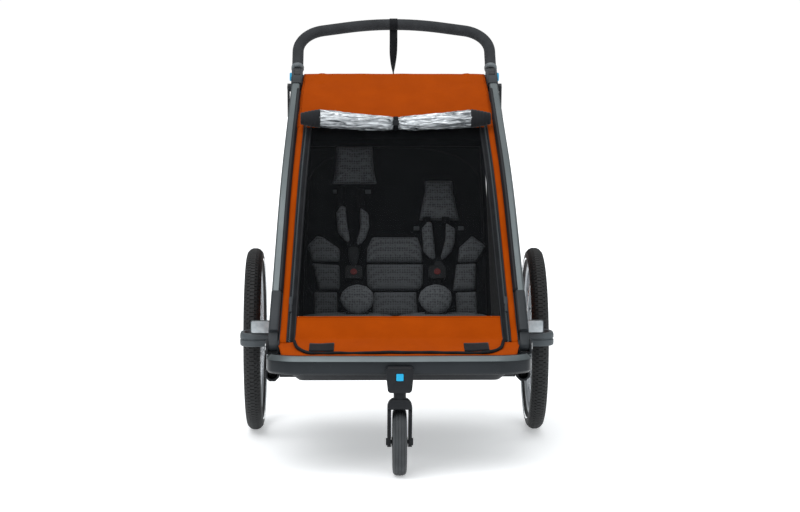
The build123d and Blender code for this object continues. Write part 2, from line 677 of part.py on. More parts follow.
ZIP_T, ZIP_INSET = 45, 22
for side, sign in SIDES.items():
    with BuildPart() as zip_slider:
        zip_x = sign * (COVER_X - ZIP_INSET - SLOPE * (ZIP_T + PANEL_END) / 2)
        with BuildSketch(Plane(origin=Vector(zip_x, 0, 0) + profile_point(ZIP_T + PANEL_END)
                               + rise(LOWER_ANGLE) * (COVER_V + COVER_T + 0.4), x_dir=(1, 0, 0),
                               z_dir=rise(LOWER_ANGLE))):
            RectangleRounded(9, 22, 3)
            with Locations((0, -20)):
                RectangleRounded(6, 26, 2.5)
        extrude(amount=4)
    zip_slider.part.label = f"zip_slider_{side}"
    export_step(zip_slider.part, f"parts/zip_slider_{side}.step")

# ======================= handlebar =======================
GRIP_R, BAR_R = 15.5, 11
handle_run = Vector(0, cos(radians(HANDLE_ANGLE)), sin(radians(HANDLE_ANGLE)))
handle_plane = Plane(origin=HINGE, x_dir=(1, 0, 0), z_dir=(0, -handle_run.Z, handle_run.Y))
handle_points = [(-1, 0), (-1, 0.8), (0, 1.045), (1, 0.8), (1, 0)]     # the bar is bowed upwards
for name, outer, inner, start in (("handlebar", BAR_R, BAR_R - 2, 25),
                                  ("handlebar_grip", GRIP_R, BAR_R + 0.5, 36)):
    with BuildPart() as bar:
        with BuildLine(handle_plane) as bar_path:
            FilletPolyline(*[(HINGE_X * x, max(HANDLE_LENGTH * y, start)) for x, y in handle_points],
                           radius=[84, 700, 84])
        bar_wire = bar_path.wires()[0]
        with BuildSketch(Plane(origin=bar_wire @ 0, x_dir=(1, 0, 0), z_dir=bar_wire % 0)):
            Circle(outer)
            Circle(inner, mode=Mode.SUBTRACT)
        sweep(path=bar_wire)
        if name == "handlebar":
            for sign in SIDES.values():
                with BuildSketch(yz(sign * BOSS_IN)):
                    with Locations((HINGE_Y, HINGE_Z)):
                        Circle(21)
                    with Locations(tuple(HINGE + handle_run * 22)[1:]):
                        Circle(12)
                    make_hull()
                extrude(amount=sign * (BOSS_OUT - BOSS_IN))
                with BuildSketch(yz(sign * (BOSS_IN - 1))):
                    with Locations((HINGE_Y, HINGE_Z)):
                        Circle(PIN_R + RUNNING)
                extrude(amount=sign * (BOSS_OUT - BOSS_IN + 2), mode=Mode.SUBTRACT)
    bar.part.label = name
    export_step(bar.part, f"parts/{name}.step")

BUTTON_GAP, BUTTON_HEIGHT = 4.6, 8.8        # the gap takes the button's 3 mm of travel
for side, sign in SIDES.items():
    with BuildPart() as hinge_button:
        with BuildSketch(yz(sign * (BOSS_OUT + BUTTON_GAP))):
            with Locations((HINGE_Y, HINGE_Z)):
                Circle(11.6)
        extrude(amount=sign * BUTTON_HEIGHT)
        fillet(hinge_button.faces().sort_by(Axis.X)[-1 if sign > 0 else 0].edges(), radius=2)
    hinge_button.part.label = f"hinge_button_{side}"
    export_step(hinge_button.part, f"parts/hinge_button_{side}.step")

STRAP_LENGTH, STRAP_W, STRAP_T = 230, 22, 2.4
strap_top = bar_wire @ 0.5 - Vector(0, 0, GRIP_R + 0.4)
with BuildPart() as wrist_strap:
    with BuildSketch(Plane(origin=strap_top, x_dir=(1, 0, 0), z_dir=(0, 0, -1))):
        Rectangle(STRAP_W, STRAP_T)
    extrude(amount=STRAP_LENGTH)
wrist_strap.part.label = "wrist_strap"
export_step(wrist_strap.part, "parts/wrist_strap.step")

# ======================= folding braces =======================
brace_run = BRACE_TOP - Vector(0, BRACE_Y, BRACE_Z)
elbow = Vector(0, BRACE_Y, BRACE_Z) + brace_run.normalized() * BRACE_LOWER
for name, near, far, x in (("brace_lowers", Vector(0, BRACE_Y, BRACE_Z), elbow, 293.6),
                           ("brace_uppers", BRACE_TOP, elbow, 286.4)):
    with BuildPart() as brace:
        for sign in SIDES.values():
            with BuildSketch(yz(sign * x)):
                for end in (near, far):
                    with Locations((end.Y, end.Z)):
                        Circle(11)
                make_hull()
                with Locations((near.Y, near.Z)):
                    Circle(PIN_R + RUNNING, mode=Mode.SUBTRACT)
            extrude(amount=sign * 6)
    brace.part.label = name
    export_step(brace.part, f"parts/{name}.step")

# ======================= seat back and what it carries =======================
up_seat = Vector(0, cos(radians(SEAT_ANGLE)), sin(radians(SEAT_ANGLE)))
seat_plane = Plane(origin=(0, SEAT_Y, SEAT_Z), x_dir=(1, 0, 0), z_dir=(0, -up_seat.Z, up_seat.Y))
seat_normal = Axis((0, 0, 0), tuple(seat_plane.z_dir))
with BuildPart() as seat_back:
    with BuildSketch(seat_plane.offset(-4)):
        with BuildLine():
            Polyline((-252, 14), (252, 14), (240, 500), (-240, 500), close=True)
        make_face()
    extrude(amount=8)
seat_back.part.label = "seat_back"
export_step(seat_back.part, "parts/seat_back.step")

with BuildPart() as back_pads:
    with BuildSketch(seat_plane.offset(4.2)):
        for middle, width in ((-200, 88), (0, 150), (203, 86)):
            with Locations((middle, 142)):
                RectangleRounded(width, 204, 16)
    extrude(amount=20)
    fillet(back_pads.faces().group_by(seat_normal)[-1].edges(), radius=7)
back_pads.part.label = "back_pads"
export_step(back_pads.part, "parts/back_pads.step")

with BuildPart() as headrests:
    with BuildSketch(seat_plane.offset(4.2)):
        for middle, low, high, width in ((-114, 386, 494, 112), (123, 283, 396, 100)):
            with Locations((middle, (low + high) / 2)):
                RectangleRounded(width, high - low, 18)
    extrude(amount=32)
    fillet(headrests.faces().group_by(seat_normal)[-1].edges(), radius=10)
headrests.part.label = "headrests"
export_step(headrests.part, "parts/headrests.step")

with BuildPart() as harness:
    with BuildSketch(seat_plane.offset(26)):
        for middle, low in ((-144, 205), (-86, 205), (90, 160), (152, 160)):
            with Locations((middle, low + 60)):
                RectangleRounded(38, 120, 12)
    extrude(amount=12)
harness.part.label = "harness"
export_step(harness.part, "parts/harness.step")

with BuildPart() as cargo_bag:
    with BuildSketch(Plane(origin=(-200, SEAT_Y, SEAT_Z), x_dir=up_seat, z_dir=(1, 0, 0))):
        with BuildLine():
            Polyline((170, -4.4), (440, -4.4), (440, -70), (400, -88), (190, -44), close=True)
        make_face()
    extrude(amount=400)
cargo_bag.part.label = "cargo_bag"
export_step(cargo_bag.part, "parts/cargo_bag.step")
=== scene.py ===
"""Looks of the two-seat child bicycle trailer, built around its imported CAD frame.

Metres; +X to the trailer's right, +Y to the rear, +Z up. The front faces -Y.
"""

import json
import random
from math import acos, atan2, ceil, cos, pi, radians, sin, sqrt, tan

import bmesh
import bpy
from mathutils import Matrix, Vector, noise


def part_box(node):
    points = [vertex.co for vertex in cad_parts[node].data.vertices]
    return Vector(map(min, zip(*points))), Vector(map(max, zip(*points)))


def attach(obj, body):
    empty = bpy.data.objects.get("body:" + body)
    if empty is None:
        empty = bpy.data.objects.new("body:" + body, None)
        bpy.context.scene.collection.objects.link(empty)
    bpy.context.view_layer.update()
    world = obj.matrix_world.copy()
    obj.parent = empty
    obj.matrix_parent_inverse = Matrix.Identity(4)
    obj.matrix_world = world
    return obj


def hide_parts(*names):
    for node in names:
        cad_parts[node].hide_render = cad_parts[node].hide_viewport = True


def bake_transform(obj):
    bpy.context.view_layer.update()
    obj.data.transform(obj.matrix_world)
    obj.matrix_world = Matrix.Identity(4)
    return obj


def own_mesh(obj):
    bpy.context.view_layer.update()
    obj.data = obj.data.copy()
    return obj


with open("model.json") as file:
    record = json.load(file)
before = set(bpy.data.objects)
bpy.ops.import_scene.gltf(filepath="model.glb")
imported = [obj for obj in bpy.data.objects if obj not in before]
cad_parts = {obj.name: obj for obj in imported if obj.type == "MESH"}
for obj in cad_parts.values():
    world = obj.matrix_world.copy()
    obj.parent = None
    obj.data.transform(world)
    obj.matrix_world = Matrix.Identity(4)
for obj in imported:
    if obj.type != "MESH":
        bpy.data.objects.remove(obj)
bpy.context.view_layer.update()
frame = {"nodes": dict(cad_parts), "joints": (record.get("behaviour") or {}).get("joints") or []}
random.seed(7)

# ---- places taken from the frame ----
JOINTS = {joint["name"]: joint for joint in frame["joints"]}
PIVOT = Vector(JOINTS["frame_fold"]["pos_m"])
HINGE = Vector(JOINTS["handlebar_tilt"]["pos_m"])
SEAT = Vector(JOINTS["seat_back_fold"]["pos_m"])
CASTER = Vector(JOINTS["caster_spin"]["pos_m"])
SIDES = {"right": 1, "left": -1}
AXLES = {side: Vector(JOINTS[f"wheel_{side}_spin"]["pos_m"]) for side in SIDES}

# ---- driving dimensions shared with the CAD model ----
LOWER, UPPER = radians(51), radians(35)     # slope of the side frames below and above their bend
BEND_R = 0.9
SLOPE = tan(radians(2.55))                  # the side frames lean inwards
PILLAR_X = 0.309
SEAT_ANGLE = radians(72)
HANDLE_ANGLE = radians(45)
HANDLE_LENGTH = 0.2104
GRIP_R = 0.0155


def heading(angle):
    """Unit vector in the side view, pointing up the slope of a run."""
    return Vector((0, cos(angle), sin(angle)))


def outward(angle):
    """Unit vector square to a run, to the front and up."""
    return Vector((0, -sin(angle), cos(angle)))


SPAN = HINGE - PIVOT
CHORD = SPAN.normalized()
_low, _up = heading(LOWER), heading(UPPER)
BEND_T = (SPAN.y * _up.z - SPAN.z * _up.y) / (_low.y * _up.z - _low.z * _up.y)
BEND = PIVOT + _low * BEND_T
TOP_T = BEND_T + (HINGE - BEND).length


def along_frame(t, lift=0.0):
    """A point t up the side frames' middle line and lift above it, with x = 0, and the slope there."""
    reach = BEND_R * tan((LOWER - UPPER) / 2)
    share = min(max((t - BEND_T + reach) / (2 * reach), 0), 1)
    angle = LOWER + (UPPER - LOWER) * share
    if share <= 0:
        point = PIVOT + heading(LOWER) * t
    elif share >= 1:
        point = BEND + heading(UPPER) * (t - BEND_T)
    else:
        middle = BEND - heading(LOWER) * reach - outward(LOWER) * BEND_R
        point = middle + outward(angle) * BEND_R
    return point + outward(angle) * lift, angle


def leaning_x(point, x_at_pivot):
    """Half width at a point, for something that is x_at_pivot wide at the pivot and leans as the frames do."""
    return x_at_pivot - SLOPE * (point - PIVOT).dot(CHORD)


def cover_point(t, x_at_pivot, lift, share=1.0):
    """A point on a cover between the frames; share runs from -1 at the left edge to 1 at the right."""
    point, _ = along_frame(t, lift)
    return Vector((leaning_x(point, x_at_pivot) * share, point.y, point.z))


# ======================= camera and cord =======================
def make_camera():
    data = bpy.data.cameras.new("camera")
    data.lens = 98.55
    data.sensor_width = 36
    data.clip_end = 100
    camera = bpy.data.objects.new("camera", data)
    camera.location = (-0.0938, -5.685, 0.9807)
    pitch, yaw = 0.085, 0.0181
    camera.rotation_euler = (pi / 2 - pitch, 0, -yaw)
    bpy.context.scene.collection.objects.link(camera)
    bpy.context.scene.camera = camera


make_camera()


# ======================= materials =======================
def node(material, kind, **settings):
    made = material.node_tree.nodes.new(kind)
    for name, value in settings.items():
        if name in made.inputs:
            made.inputs[name].default_value = value
        else:
            setattr(made, name, value)
    return made


def link(material, output, socket):
    material.node_tree.links.new(output, socket)


def new_material(name, colour, roughness, metallic=0.0, **sockets):
    """A Principled material; sockets are given with underscores for spaces."""
    material = bpy.data.materials.new(name)
    material.use_nodes = True
    shader = material.node_tree.nodes["Principled BSDF"]
    shader.inputs["Base Color"].default_value = (*colour, 1)
    shader.inputs["Roughness"].default_value = roughness
    shader.inputs["Metallic"].default_value = metallic
    for key, value in sockets.items():
        shader.inputs[key.replace("_", " ")].default_value = value
    place = node(material, "ShaderNodeTexCoord")
    return material, shader, place.outputs["Object"]


def mottle(material, shader, place, low, high, scale, socket="Base Color", detail=4.0):
    """Noise between two values of a socket, such as a fabric's or a casting's unevenness."""
    grain = node(material, "ShaderNodeTexNoise", Scale=scale, Detail=detail)
    link(material, place, grain.inputs["Vector"])
    if socket == "Base Color":
        ramp = node(material, "ShaderNodeValToRGB")
        ramp.color_ramp.elements[0].position, ramp.color_ramp.elements[1].position = 0.32, 0.68
        ramp.color_ramp.elements[0].color, ramp.color_ramp.elements[1].color = (*low, 1), (*high, 1)
        link(material, grain.outputs["Fac"], ramp.inputs["Fac"])
        link(material, ramp.outputs["Color"], shader.inputs[socket])
    else:
        spread = node(material, "ShaderNodeMapRange")
        spread.inputs["To Min"].default_value, spread.inputs["To Max"].default_value = low, high
        link(material, grain.outputs["Fac"], spread.inputs["Value"])
        link(material, spread.outputs["Result"], shader.inputs[socket])


def emboss(material, shader, height, strength, distance, under=None):
    """Adds a bump layer, on top of one made before."""
    bump = node(material, "ShaderNodeBump", Strength=strength, Distance=distance)
    link(material, height, bump.inputs["Height"])
    if under is not None:
        link(material, under.outputs["Normal"], bump.inputs["Normal"])
    link(material, bump.outputs["Normal"], shader.inputs["Normal"])
    return bump


def grain_height(material, place, scale, detail=3.0):
    grain = node(material, "ShaderNodeTexNoise", Scale=scale, Detail=detail)
    link(material, place, grain.inputs["Vector"])
    return grain.outputs["Fac"]


def weave_height(material, place, pitch):
    """Threads running three ways, so that a weave shows on a cloth at any slope."""
    total = None
    for direction in ("X", "Y", "Z"):
        wave = node(material, "ShaderNodeTexWave", Scale=0.314 / pitch, bands_direction=direction)
        link(material, place, wave.inputs["Vector"])
        if total is None:
            total = wave.outputs["Fac"]
        else:
            both = node(material, "ShaderNodeMath", operation="MAXIMUM")
            link(material, total, both.inputs[0])
            link(material, wave.outputs["Fac"], both.inputs[1])
            total = both.outputs[0]
    return total


def cell_height(material, place, pitch):
    """Even cells, as of a spacer mesh or a net."""
    cells = node(material, "ShaderNodeTexVoronoi", Scale=1 / pitch, Randomness=0.12)
    link(material, place, cells.inputs["Vector"])
    return cells.outputs["Distance"]


def cloth(name, colour, lighter, roughness, pitch, weave=0.25, sheen=0.15):
    material, shader, place = new_material(name, colour, roughness, Sheen_Weight=sheen, Sheen_Roughness=0.45,
                                           Specular_IOR_Level=0.04)
    mottle(material, shader, place, colour, lighter, 16.0)
    creases = emboss(material, shader, grain_height(material, place, 22.0), 0.25, 0.004)
    emboss(material, shader, weave_height(material, place, pitch), weave, pitch / 3, creases)
    return material


def painted(name, colour, darker, roughness, metallic, scuff=0.08):
    """Satin paint or anodising: fine grain, uneven gloss."""
    material, shader, place = new_material(name, colour, roughness, metallic)
    mottle(material, shader, place, darker, colour, 6.0)
    mottle(material, shader, place, roughness - scuff, roughness + scuff, 45.0, "Roughness")
    emboss(material, shader, grain_height(material, place, 900.0), 0.08, 0.0006)
    return material


def moulded(name, colour, darker, roughness):
    """Grained injection-moulded plastic."""
    material, shader, place = new_material(name, colour, roughness, Specular_IOR_Level=0.22)
    mottle(material, shader, place, darker, colour, 9.0)
    mottle(material, shader, place, roughness - 0.07, roughness + 0.07, 60.0, "Roughness")
    emboss(material, shader, grain_height(material, place, 1400.0, 2.0), 0.18, 0.0005)
    return material


def orange_cloth():
    return cloth("orange_cloth", (0.335, 0.049, 0.0004), (0.375, 0.056, 0.0006), 0.85, 0.0016, 0.3, 0.02)


def black_cloth():
    return cloth("black_cloth", (0.014, 0.015, 0.017), (0.022, 0.023, 0.026), 0.85, 0.0014, 0.3)


def lining_cloth():
    return cloth("lining_cloth", (0.008, 0.009, 0.011), (0.013, 0.014, 0.017), 0.9, 0.002, 0.3)


def strap_webbing():
    material, shader, place = new_material("webbing", (0.009, 0.010, 0.012), 0.75, Specular_IOR_Level=0.12)
    mottle(material, shader, place, (0.007, 0.008, 0.010), (0.014, 0.015, 0.017), 40.0)
    wave = node(material, "ShaderNodeTexWave", Scale=120.0, Distortion=0.6, bands_direction="DIAGONAL")
    link(material, place, wave.inputs["Vector"])
    emboss(material, shader, wave.outputs["Fac"], 0.35, 0.0007)
    return material


def pad_mesh():
    """Spacer mesh: light threads round small dark cells."""
    material, shader, place = new_material("spacer_mesh", (0.11, 0.12, 0.13), 0.75, Sheen_Weight=0.25)
    cells = node(material, "ShaderNodeTexVoronoi", Scale=1 / 0.0065, Randomness=0.25)
    link(material, place, cells.inputs["Vector"])
    ramp = node(material, "ShaderNodeValToRGB")
    ramp.color_ramp.elements[0].position, ramp.color_ramp.elements[1].position = 0.22, 0.55
    ramp.color_ramp.elements[0].color = (0.10, 0.11, 0.12, 1)
    ramp.color_ramp.elements[1].color = (0.26, 0.28, 0.30, 1)
    link(material, cells.outputs["Distance"], ramp.inputs["Fac"])
    link(material, ramp.outputs["Color"], shader.inputs["Base Color"])
    emboss(material, shader, cells.outputs["Distance"], 0.5, 0.0015)
    return material


def window_net():
    """Fine black net: the threads are nearly solid, the holes between them let the inside show."""
    material, shader, place = new_material("window_net", (0.005, 0.006, 0.007), 0.8, Specular_IOR_Level=0.08)
    cells = node(material, "ShaderNodeTexVoronoi", Scale=1 / 0.0022, Randomness=0.0)
    link(material, place, cells.inputs["Vector"])
    spread = node(material, "ShaderNodeMapRange")
    for name, value in (("From Min", 0.2), ("From Max", 0.7), ("To Min", 0.30), ("To Max", 0.52)):
        spread.inputs[name].default_value = value
    link(material, cells.outputs["Distance"], spread.inputs["Value"])
    link(material, spread.outputs["Result"], shader.inputs["Alpha"])
    emboss(material, shader, cells.outputs["Distance"], 0.3, 0.0006)
    return material


def film():
    """Creased clear film, rolled up over its own grey layers; the light and dark patches along its creases are painted
    reflections.
    """
    material, shader, place = new_material("film", (0.62, 0.66, 0.70), 0.12, Coat_Weight=0.8, Coat_Roughness=0.06,
                                           Metallic=0.55)
    long_creases = node(material, "ShaderNodeMapping")
    long_creases.inputs["Scale"].default_value = (14.0, 70.0, 70.0)
    link(material, place, long_creases.inputs["Vector"])
    folds = node(material, "ShaderNodeTexNoise", Scale=1.0, Detail=5.0, Distortion=1.6)
    link(material, long_creases.outputs["Vector"], folds.inputs["Vector"])
    # Painted reflection: the folds noise paints near-black and light silver patches into the colour, like glints on the
    # crinkled film.
    ramp = node(material, "ShaderNodeValToRGB")
    ramp.color_ramp.elements[0].position, ramp.color_ramp.elements[1].position = 0.36, 0.60
    ramp.color_ramp.elements[0].color, ramp.color_ramp.elements[1].color = (0.06, 0.07, 0.08, 1), (0.70, 0.74, 0.77, 1)
    link(material, folds.outputs["Fac"], ramp.inputs["Fac"])
    link(material, ramp.outputs["Color"], shader.inputs["Base Color"])
    emboss(material, shader, folds.outputs["Fac"], 0.9, 0.006)
    return material


def rubber(name, colour, roughness, grain):
    material, shader, place = new_material(name, colour, roughness, Specular_IOR_Level=0.3)
    mottle(material, shader, place, tuple(c * 0.7 for c in colour), colour, 30.0)
    emboss(material, shader, grain_height(material, place, grain), 0.25, 0.0006)
    return material


def brushed(name, colour, roughness):
    material, shader, place = new_material(name, colour, roughness, 1.0)
    lines = node(material, "ShaderNodeMapping")
    lines.inputs["Scale"].default_value = (900.0, 25.0, 25.0)
    link(material, place, lines.inputs["Vector"])
    grain = node(material, "ShaderNodeTexNoise", Scale=1.0, Detail=3.0)
    link(material, lines.outputs["Vector"], grain.inputs["Vector"])
    emboss(material, shader, grain.outputs["Fac"], 0.12, 0.0004)
    mottle(material, shader, place, roughness - 0.08, roughness + 0.1, 30.0, "Roughness")
    return material


def reflex():
    """Prismatic reflector: small bright cells under a clear skin."""
    material, shader, place = new_material("reflex", (0.62, 0.68, 0.72), 0.22, 0.3, Coat_Weight=1.0,
                                           Coat_Roughness=0.05)
    cells = node(material, "ShaderNodeTexVoronoi", Scale=1 / 0.003, Randomness=0.0)
    link(material, place, cells.inputs["Vector"])
    mottle(material, shader, place, (0.36, 0.41, 0.44), (0.52, 0.57, 0.60), 60.0)
    emboss(material, shader, cells.outputs["Distance"], 0.8, 0.001)
    return material


MATERIALS = {
    "frame": painted("frame_paint", (0.018, 0.020, 0.023), (0.012, 0.014, 0.016), 0.42, 0.35),
    "alu": painted("anodised", (0.125, 0.145, 0.150), (0.10, 0.118, 0.124), 0.40, 0.75),
    # The bumper's own dark anodised finish, made darker still as a painted dark reflection on its front face.
    "bumper": painted("bumper_anodised_painted_dark_reflection", (0.018, 0.022, 0.026), (0.013, 0.016, 0.019), 0.30, 0.6),
    "plastic_black": moulded("plastic_black", (0.012, 0.014, 0.017), (0.008, 0.009, 0.011), 0.5),
    "plastic_grey": moulded("plastic_grey", (0.082, 0.096, 0.105), (0.066, 0.078, 0.086), 0.48),
    "plastic_hinge": moulded("plastic_hinge", (0.030, 0.035, 0.040), (0.021, 0.025, 0.029), 0.45),
    "plastic_light": moulded("plastic_light", (0.15, 0.17, 0.18), (0.12, 0.137, 0.147), 0.4),
    "blue": moulded("blue_plastic", (0.02, 0.42, 0.72), (0.015, 0.36, 0.64), 0.35),
    "red": moulded("red_plastic", (0.22, 0.012, 0.012), (0.17, 0.010, 0.010), 0.35),
    "orange_fabric": orange_cloth(),
    "black_fabric": black_cloth(),
    "lining": lining_cloth(),
    "mesh": window_net(),
    "pad": pad_mesh(),
    "webbing": strap_webbing(),
    "clear_film": film(),
    "foam": rubber("foam", (0.034, 0.037, 0.041), 0.88, 500.0),
    "tyre": rubber("tyre_rubber", (0.020, 0.021, 0.022), 0.62, 700.0),
    "caster_rubber": rubber("caster_rubber", (0.055, 0.06, 0.064), 0.6, 500.0),
    "rim": brushed("rim_alloy", (0.30, 0.32, 0.34), 0.34),
    "spoke": brushed("spoke_wire", (0.5, 0.52, 0.54), 0.25),
    "steel": brushed("zinc_steel", (0.48, 0.49, 0.50), 0.35),
    "reflector": reflex(),
}


# ======================= mesh helpers =======================
def piece(name, verts, faces, finish, body=None, smooth=True):
    """A new object from points and faces, with a finish, riding on a body."""
    mesh = bpy.data.meshes.new(name)
    mesh.from_pydata([tuple(v) for v in verts], [], faces)
    mesh.validate()
    tidy = bmesh.new()
    tidy.from_mesh(mesh)
    bmesh.ops.recalc_face_normals(tidy, faces=tidy.faces)
    tidy.to_mesh(mesh)
    tidy.free()
    for polygon in mesh.polygons:
        polygon.use_smooth = smooth
    made = bpy.data.objects.new(name, mesh)
    bpy.context.scene.collection.objects.link(made)
    dress(made, finish)
    if body:
        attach(made, body)
    return made


def dress(made, finish):
    made.data.materials.clear()
    made.data.materials.append(MATERIALS[finish])


def bake_modifiers(made):
    """Replaces the object's mesh with what its modifiers make of it."""
    shown = made.evaluated_get(bpy.context.evaluated_depsgraph_get())
    mesh = bpy.data.meshes.new_from_object(shown)
    made.modifiers.clear()
    made.data = mesh
    return made


def soften(made, width, segments=2, subdivide=0, angle=35):
    """Bevelled edges and, if asked, a subdivided surface."""
    bevel = made.modifiers.new("bevel", "BEVEL")
    bevel.width = width
    bevel.segments = segments
    bevel.limit_method = "ANGLE"
    bevel.angle_limit = radians(angle)
    if subdivide:
        made.modifiers.new("subdivide", "SUBSURF").levels = subdivide
        made.modifiers["subdivide"].render_levels = subdivide
    return bake_modifiers(made)


def sharpen(made, angle=40):
    """Smooth shading that stays crisp over edges sharper than the angle."""
    mesh = made.data
    mesh.shade_smooth()
    mesh.set_sharp_from_angle(angle=radians(angle))
    return made


def grid(name, rows, finish, body=None, closed=False, thickness=0.0, caps=False):
    """A surface over rows of points; closed joins each row's ends, thickness makes it solid."""
    count = len(rows[0])
    verts = [point for row in rows for point in row]
    wrap = count if closed else count - 1
    faces = [(r * count + c, r * count + (c + 1) % count, (r + 1) * count + (c + 1) % count, (r + 1) * count + c)
             for r in range(len(rows) - 1) for c in range(wrap)]
    if caps:
        faces += [tuple(range(count))[::-1], tuple(range((len(rows) - 1) * count, len(rows) * count))]
    made = piece(name, verts, faces, finish)
    if thickness:
        solid = made.modifiers.new("solidify", "SOLIDIFY")
        solid.thickness = thickness
        solid.offset = 0
        bake_modifiers(made)
    if body:
        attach(made, body)
    return made


def surface(name, point, across, along, finish, body=None, thickness=0.0012, **options):
    """A grid over point(u, v), with u and v from 0 to 1."""
    rows = [[point(c / across, r / along) for c in range(across + 1)] for r in range(along + 1)]
    return grid(name, rows, finish, body, thickness=thickness, **options)


def pipe(name, points, radius, finish, body, closed=False, smooth=True):
    """A round cord, piping or tube along points."""
    data = bpy.data.curves.new(name, "CURVE")
    data.dimensions = "3D"
    data.bevel_depth = radius
    data.bevel_resolution = 3
    data.use_fill_caps = True
    kind = "NURBS" if smooth else "POLY"
    spline = data.splines.new(kind)
    spline.points.add(len(points) - 1)
    for target, point in zip(spline.points, points):
        target.co = (*point, 1)
    spline.order_u = 3
    spline.use_endpoint_u = not closed
    spline.use_cyclic_u = closed
    shaped = bpy.data.objects.new(name, data)
    bpy.context.scene.collection.objects.link(shaped)
    mesh = bpy.data.meshes.new_from_object(shaped.evaluated_get(bpy.context.evaluated_depsgraph_get()))
    bpy.data.objects.remove(shaped)
    made = bpy.data.objects.new(name, mesh)
    bpy.context.scene.collection.objects.link(made)
    mesh.shade_smooth()
    dress(made, finish)
    if body:
        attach(made, body)
    return made


def sweep(name, path, section, sideways, finish, body=None, closed=False):
    """A section of (side, up) points carried along a path; sideways(i) is the section's side direction."""
    rows = []
    for index, point in enumerate(path):
        before = path[index - 1] if index or closed else point
        after = path[(index + 1) % len(path)] if index < len(path) - 1 or closed else point
        run = (after - before).normalized()
        side = sideways(index)
        side = (side - run * side.dot(run)).normalized()
        up = run.cross(side)
        rows.append([point + side * s + up * u for s, u in section])
    if closed:
        rows.append(rows[0])
    return grid(name, rows, finish, body, closed=True, caps=not closed)


def lathe(name, profile, centre, finish, body, segments=96, axis="X", closed_profile=True):
    """A profile of (radius, along) points turned about an axis through centre."""
    rows = []
    for index in range(segments):
        angle = 2 * pi * index / segments
        c, s = cos(angle), sin(angle)
        turned = {"X": lambda r, a: Vector((a, r * c, r * s)), "Z": lambda r, a: Vector((r * c, r * s, a)),
                  "Y": lambda r, a: Vector((r * c, a, r * s))}[axis]
        rows.append([centre + turned(r, a) for r, a in profile])
    rows.append(rows[0])
    made = grid(name, rows, finish, None, closed=closed_profile)
    weld = made.modifiers.new("weld", "WELD")
    weld.merge_threshold = 0.00001
    bake_modifiers(made)
    sharpen(made, 50)
    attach(made, body)
    return made


def smooth_loop(points, rounds=3):
    """Cuts the corners of a closed outline a few times, which rounds it."""
    for _ in range(rounds):
        points = [mix for a, b in zip(points, points[1:] + points[:1])
                  for mix in ((a[0] * 0.75 + b[0] * 0.25, a[1] * 0.75 + b[1] * 0.25),
                              (a[0] * 0.25 + b[0] * 0.75, a[1] * 0.25 + b[1] * 0.75))]
    return points


def crisp_loop(points, corner=0.012):
    """A closed outline with small rounded corners: each side is divided first, then the corners are cut."""
    dense = []
    for a, b in zip(points, points[1:] + points[:1]):
        steps = max(1, round(sqrt((b[0] - a[0]) ** 2 + (b[1] - a[1]) ** 2) / corner))
        dense += [(a[0] + (b[0] - a[0]) * k / steps, a[1] + (b[1] - a[1]) * k / steps) for k in range(steps)]
    return smooth_loop(dense, 2)


def plane(origin, x_dir, y_dir):
    """Maps a plane's own (x, y, height) to the row frame."""
    x_dir, y_dir = x_dir.normalized(), y_dir.normalized()
    normal = x_dir.cross(y_dir)
    return lambda x, y, h=0.0: origin + x_dir * x + y_dir * y + normal * h


def crowned(name, outline, place, thickness, fullness, finish, body, rings=8, back=0.0, ripple=None):
    """A closed pad on a plane: its face swells from the outline, its back is flat."""
    loop = crisp_loop(outline)
    middle = (sum(p[0] for p in loop) / len(loop), sum(p[1] for p in loop) / len(loop))
    verts, faces, count = [], [], len(loop)
    for ring in range(rings):
        share = cos(ring / rings * pi / 2)
        height = thickness * (1 - share ** fullness) ** (1 / fullness)
        for x, y in loop:
            px, py = middle[0] + (x - middle[0]) * share, middle[1] + (y - middle[1]) * share
            extra = ripple(px - middle[0], py - middle[1], share) if ripple else 0.0
            verts.append(place(px, py, height + extra))
    for ring in range(rings - 1):
        for c in range(count):
            n = (c + 1) % count
            faces.append((ring * count + c, ring * count + n, (ring + 1) * count + n, (ring + 1) * count + c))
    top = len(verts)
    verts.append(place(*middle, thickness + (ripple(0, 0, 0) if ripple else 0.0)))
    faces += [((rings - 1) * count + c, (rings - 1) * count + (c + 1) % count, top) for c in range(count)]
    rim = len(verts)
    verts += [place(middle[0] + (x - middle[0]) * 0.985, middle[1] + (y - middle[1]) * 0.985, -back - 0.001)
              for x, y in loop]
    faces += [(c, (c + 1) % count, rim + (c + 1) % count, rim + c) for c in range(count)]
    bottom = len(verts)
    verts.append(place(*middle, -back - 0.001))
    faces += [(rim + c, rim + (c + 1) % count, bottom) for c in range(count)]
    return piece(name, verts, faces, finish, body)


def prism(name, outline, place, height, bevel, finish, body, rounds=0, segments=3):
    """An outline raised off a plane, with rolled edges."""
    loop = smooth_loop(outline, rounds) if rounds else outline
    count = len(loop)
    verts = [place(x, y, 0) for x, y in loop] + [place(x, y, height) for x, y in loop]
    faces = [tuple(range(count))[::-1], tuple(range(count, 2 * count))]
    faces += [(c, (c + 1) % count, count + (c + 1) % count, count + c) for c in range(count)]
    made = piece(name, verts, faces, finish)
    soften(made, bevel, segments)
    sharpen(made)
    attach(made, body)
    return made


def finer(cad_node, body, bevel, finish, segments=2, angle=32):
    """A copy of a CAD part with rolled edges, which stands for it."""
    source = frame["nodes"][cad_node]
    mesh = source.data.copy()
    made = bpy.data.objects.new(cad_node + "_finish", mesh)
    bpy.context.scene.collection.objects.link(made)
    work = bmesh.new()
    work.from_mesh(mesh)
    bmesh.ops.remove_doubles(work, verts=work.verts, dist=0.00002)
    bmesh.ops.dissolve_limit(work, angle_limit=radians(1.5), verts=work.verts, edges=work.edges)
    work.to_mesh(mesh)
    work.free()
    mesh.attributes.remove(mesh.attributes["custom_normal"]) if "custom_normal" in mesh.attributes else None
    soften(made, bevel, segments, angle=angle)
    sharpen(made)
    dress(made, finish)
    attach(made, body)
    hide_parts(cad_node)
    return made


